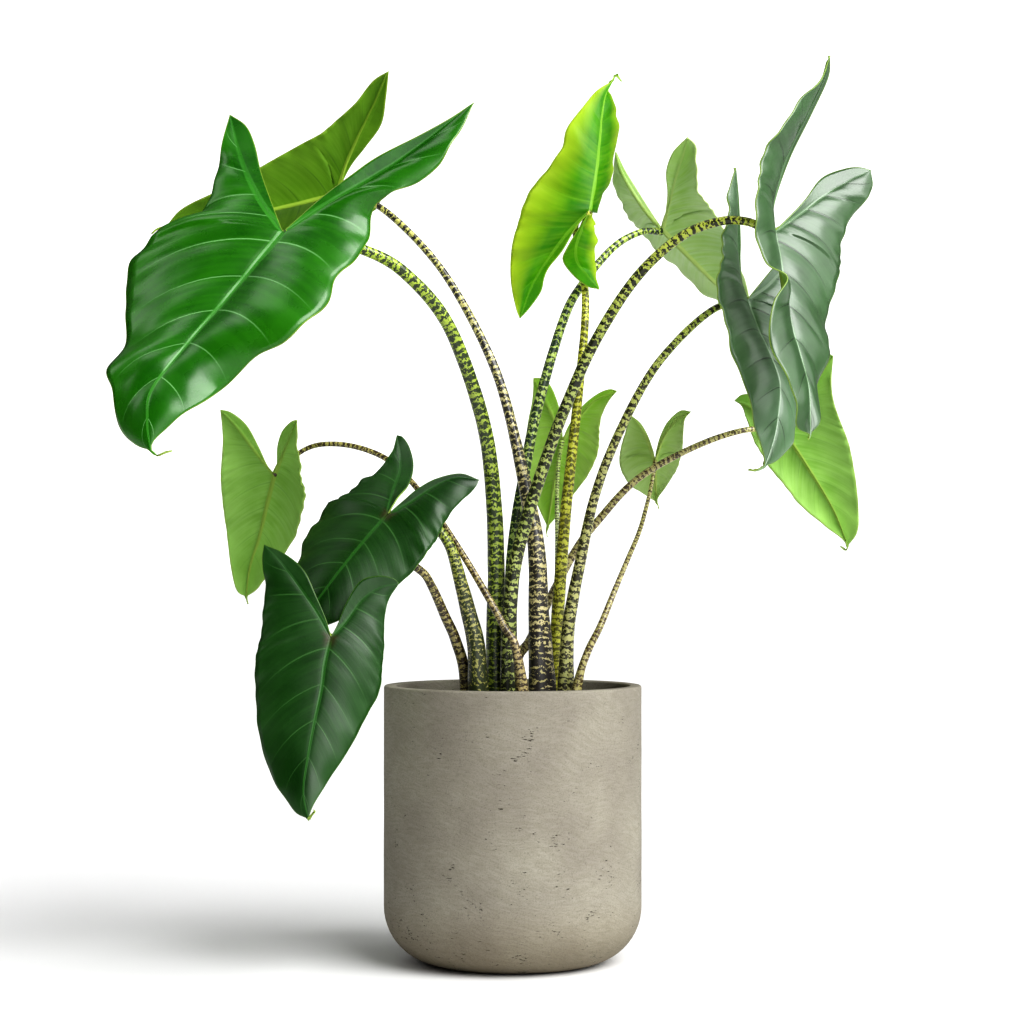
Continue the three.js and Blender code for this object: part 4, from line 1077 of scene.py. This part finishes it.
def fibreCement():
    # Fibre cement, cast and brushed: dull warm grey, fine wavy brush lines, open pores
    material, tree = newMaterial("fibre cement, cast and brushed")
    place = addNode(tree, "TexCoord", out=3)
    height = addNode(tree, "SeparateXYZ", {0: place}, out=2)
    # short brush lines that sway a little and slope down to the right
    sway = addNode(tree, "TexNoise", {"Vector": place, "Scale": 1 / (60 * mm), "Detail": 1.0}, out=1)
    swayed = addNode(tree, "VectorMath", {0: sway, 1: (0, 0, 30 * mm), 2: place}, operation="MULTIPLY_ADD")
    tilted = addNode(tree, "Mapping", {0: swayed, 2: (0.0, math.radians(-12), 0.0)})
    brushScale = (1 / (13 * mm), 1 / (13 * mm), 1 / (1.8 * mm))
    brushPlace = addNode(tree, "VectorMath", {0: tilted, 1: brushScale}, operation="MULTIPLY")
    brush = addNode(
        tree, "TexNoise", {"Vector": brushPlace, "Scale": 1.0, "Detail": 3.0, "Roughness": 0.65})
    brushShare = addNode(tree, "MapRange", {0: brush, 1: 0.38, 2: 0.62, 4: 0.3})
    cloud = addNode(tree, "TexNoise", {"Vector": place, "Scale": 1 / (70 * mm), "Detail": 4.0})
    cloudShare = addNode(tree, "MapRange", {0: cloud, 1: 0.35, 2: 0.65})
    grain = addNode(
        tree, "TexNoise", {"Vector": place, "Scale": 1 / (1.3 * mm), "Detail": 3.0, "Roughness": 0.7})
    grainShare = addNode(tree, "MapRange", {0: grain, 1: 0.48, 2: 0.72, 4: 0.45})
    footShare = addNode(tree, "MapRange", {0: height, 1: 70 * mm, 2: 0.0, 4: 0.5})
    # pores: thin ragged slots in clusters, most of them low on the wall, painted dark as shade inside the
    # holes
    poreScale = (1 / (4.5 * mm), 1 / (4.5 * mm), 1 / (1.4 * mm))
    porePlace = addNode(tree, "VectorMath", {0: place, 1: poreScale}, operation="MULTIPLY")
    slots = addNode(tree, "TexNoise", {"Vector": porePlace, "Scale": 1.0, "Detail": 3.0, "Roughness": 0.6})
    cluster = addNode(tree, "TexNoise", {"Vector": place, "Scale": 1 / (24 * mm), "Detail": 1.0})
    slots = addNode(tree, "Math", {0: cluster, 1: 0.45, 2: slots}, operation="MULTIPLY_ADD")
    poreLimit = addNode(tree, "MapRange", {0: height, 1: 10 * mm, 2: 150 * mm, 3: 0.9, 4: 0.95})
    poreDepth = addNode(tree, "Math", {0: slots, 1: poreLimit}, operation="SUBTRACT")
    pore = addNode(tree, "MapRange", {0: poreDepth, 1: 0.0, 2: 0.03})
    poreShade = addNode(tree, "MapRange", {0: pore, 4: 0.85})

    # the dark pore colour is painted shade in the holes
    base = paint(tree, linearColour("#8B867C"), [
        (cloudShare, "#999589"), (brushShare, "#777263"), (footShare, "#786B50"), (grainShare, "#5C5748"),
        (poreShade, "#2E2A22"),
    ])
    surface = relief(tree, [(brush, 0.35 * mm), (grain, 0.25 * mm), (pore, -0.8 * mm)])
    bump = addNode(tree, "Bump", {"Strength": 0.7, "Distance": 1.0, "Height": surface})
    gloss = addNode(tree, "MapRange", {0: brush, 1: 0.3, 2: 0.7, 3: 0.78, 4: 0.92})
    skin = addNode(tree, "BsdfPrincipled", {
        "Base Color": base, "Roughness": gloss, "Normal": bump, "IOR": 1.5, "Specular IOR Level": 0.3,
    })
    addNode(tree, "OutputMaterial", {0: skin})
    return material


makePot(fibreCement())
print("pot made")

# Soil: peaty potting mix with bark crumbs, mounded round the stalks
soil = {
    "edgeHeight": 240, "crownHeight": 249, "bottom": 205, "rings": 46, "sides": 120,
    "gap": 0.4,  # to the pot's wall
    "lumps": ((2.2, 17, 0), (1.0, 5, 40)),  # height, size and start of each pattern of lumps
    "crumbs": 420,
    "crumbSizes": [1.2, 1.6, 2.2, 3.2],
    "crumbInset": 4,  # least distance from the soil's edge
    "crumbDents": 0.35,  # share of a crumb's size
    "crumbRise": 0.3,  # how high a crumb's middle lies above the soil, same share
}


def soilHeight(x, y):
    reach = math.hypot(x, y) / (pot["radius"] - pot["wall"])
    mound = (soil["crownHeight"] - soil["edgeHeight"]) * (1 - min(reach, 1) ** 2)
    lump = sum(rise * noise.noise(Vector((x, y, start)) / size) for rise, size, start in soil["lumps"])
    return soil["edgeHeight"] + mound + lump


def pottingMix():
    # Potting mix: dark moist peat, rough and crumbly, with paler fibres
    material, tree = newMaterial("potting mix, peat and bark")
    place = addNode(tree, "TexCoord", out=3)
    crumb = addNode(tree, "TexVoronoi", {"Vector": place, "Scale": 1 / (2.4 * mm)})
    clump = addNode(tree, "TexNoise", {"Vector": place, "Scale": 1 / (9 * mm), "Detail": 5.0})
    fleck = addNode(tree, "TexNoise", {"Vector": place, "Scale": 1 / (1.6 * mm), "Detail": 2.0})
    clumpShare = addNode(tree, "MapRange", {0: clump, 1: 0.35, 2: 0.65})
    fleckShare = addNode(tree, "MapRange", {0: fleck, 1: 0.62, 2: 0.7, 4: 0.6})
    base = paint(tree, linearColour("#1E140D"), [(clumpShare, "#3D2B1D"), (fleckShare, "#7A6044")])
    height = relief(tree, [(crumb, -1.2 * mm), (clump, 2.0 * mm)])
    bump = addNode(tree, "Bump", {"Strength": 0.8, "Distance": 1.0, "Height": height})
    skin = addNode(tree, "BsdfPrincipled", {
        "Base Color": base, "Roughness": 0.9, "Normal": bump, "Specular IOR Level": 0.25,
    })
    addNode(tree, "OutputMaterial", {0: skin})
    return material


def makeSoil(material):
    outer = pot["radius"] - pot["wall"] - soil["gap"]
    rings = soil["rings"]
    profile = [(0, soil["bottom"]), (outer, soil["bottom"])]
    profile += [(outer * (1 - ring / rings), soil["edgeHeight"]) for ring in range(rings + 1)]
    mesh = bmesh.new()
    lathe(mesh, profile, soil["sides"])
    for vertex in mesh.verts:
        if vertex.co.z > (soil["bottom"] + 1) * mm:
            vertex.co.z = soilHeight(vertex.co.x / mm, vertex.co.y / mm) * mm
    # loose crumbs of bark and peat
    draw = random.Random(7)
    for _ in range(soil["crumbs"]):
        turn = draw.uniform(0, 2 * math.pi)
        reach = math.sqrt(draw.uniform(0, 1)) * (outer - soil["crumbInset"])
        size = draw.choice(soil["crumbSizes"]) * draw.uniform(0.8, 1.3)
        made = bmesh.ops.create_icosphere(mesh, subdivisions=1, radius=size * mm)
        x, y = reach * math.cos(turn), reach * math.sin(turn)
        squash = Vector((draw.uniform(0.7, 1.4), draw.uniform(0.7, 1.4), draw.uniform(0.4, 0.8)))
        for vertex in made["verts"]:
            jitter = 1 + soil["crumbDents"] * noise.noise(vertex.co / mm + Vector((x, y, 0)))
            vertex.co = Vector(a * b for a, b in zip(vertex.co, squash)) * jitter
            vertex.co += Vector((x, y, soilHeight(x, y) + soil["crumbRise"] * size)) * mm
    return toPiece(mesh, "soil_top", [material], ["soil"])


makeSoil(pottingMix())
print("soil made")

# Floor, light and surroundings
studio = {
    "floorSize": 60.0,  # metres
    # the key light stands to the right and in front, and is as wide as a large softbox near by
    "keyStrength": 3.1, "keyAngle": 48, "keyTurn": 45, "keyRise": 40,
    # the surroundings are bright behind and to the right of the plant, and dim to the left and in front
    "bright": 0.17, "dim": 0.03, "brightSide": (0.6, 0.45, 0.65),
    # soft lights, two high on the left, one on the right and one low in front: direction, where each
    # starts to fade and ends in degrees, strength
    "softLights": [
        ((-0.76, -0.02, 0.65), 6, 16, 1.6), ((-0.36, 0.05, 0.93), 6, 16, 1.6),
        ((0.82, -0.1, 0.5), 14, 32, 1.4), ((0.24, -0.93, 0.28), 12, 26, 1.4),
    ],
}


def studioPaper():
    # Seamless paper: matt, near white
    material, tree = newMaterial("studio paper, matt white")
    place = addNode(tree, "TexCoord", out=3)
    fibre = addNode(tree, "TexNoise", {"Vector": place, "Scale": 1 / (3 * mm), "Detail": 2.0})
    base = paint(tree, linearColour("#E4E4E4"), [(fibre, "#E7E7E7")])
    skin = addNode(
        tree, "BsdfPrincipled", {"Base Color": base, "Roughness": 0.9, "Specular IOR Level": 0.1})
    addNode(tree, "OutputMaterial", {0: skin})
    return material


floorMesh = bmesh.new()
bmesh.ops.create_grid(floorMesh, x_segments=1, y_segments=1, size=studio["floorSize"] / 2)
floorData = bpy.data.meshes.new("floor")
floorMesh.to_mesh(floorData)
floorMesh.free()
floorData.materials.append(studioPaper())
floor = bpy.data.objects.new("floor", floorData)
scene.collection.objects.link(floor)


def addKeyLight():
    lamp = bpy.data.lights.new("key light", "SUN")
    lamp.energy = studio["keyStrength"]
    lamp.angle = math.radians(studio["keyAngle"])
    key = bpy.data.objects.new("key light", lamp)
    turn, rise = math.radians(studio["keyTurn"]), math.radians(studio["keyRise"])
    source = Vector((math.sin(turn) * math.cos(rise), -math.cos(turn) * math.cos(rise), math.sin(rise)))
    key.rotation_euler = (-source).to_track_quat("-Z", "Y").to_euler()
    scene.collection.objects.link(key)


def addSurroundings():
    world = bpy.data.worlds.new("studio")
    scene.world = world
    world.use_nodes = True
    tree = world.node_tree
    tree.nodes.clear()
    direction = addNode(tree, "TexCoord")
    side = tuple(Vector(studio["brightSide"]).normalized())
    facing = addNode(tree, "VectorMath", {0: direction, 1: side}, out=1, operation="DOT_PRODUCT")
    strength = addNode(
        tree, "MapRange", {0: facing, 1: -0.5, 2: 0.9, 3: studio["dim"], 4: studio["bright"]},
        interpolation_type="SMOOTHSTEP")
    for toward, inner, outer, brightness in studio["softLights"]:
        side = tuple(Vector(toward).normalized())
        facing = addNode(tree, "VectorMath", {0: direction, 1: side}, out=1, operation="DOT_PRODUCT")
        lowest, highest = math.cos(math.radians(outer)), math.cos(math.radians(inner))
        softLight = addNode(
            tree, "MapRange", {0: facing, 1: lowest, 2: highest, 4: brightness},
            interpolation_type="SMOOTHSTEP")
        strength = addNode(tree, "Math", {0: strength, 1: softLight}, operation="ADD")
    seen = addNode(tree, "LightPath")
    strength = addNode(tree, "Mix", {0: seen, 2: strength, 3: 1.0})
    surround = addNode(tree, "Background", {0: (1, 1, 1, 1), 1: strength})
    addNode(tree, "OutputWorld", {0: surround})


addKeyLight()
addSurroundings()
print("studio lit")
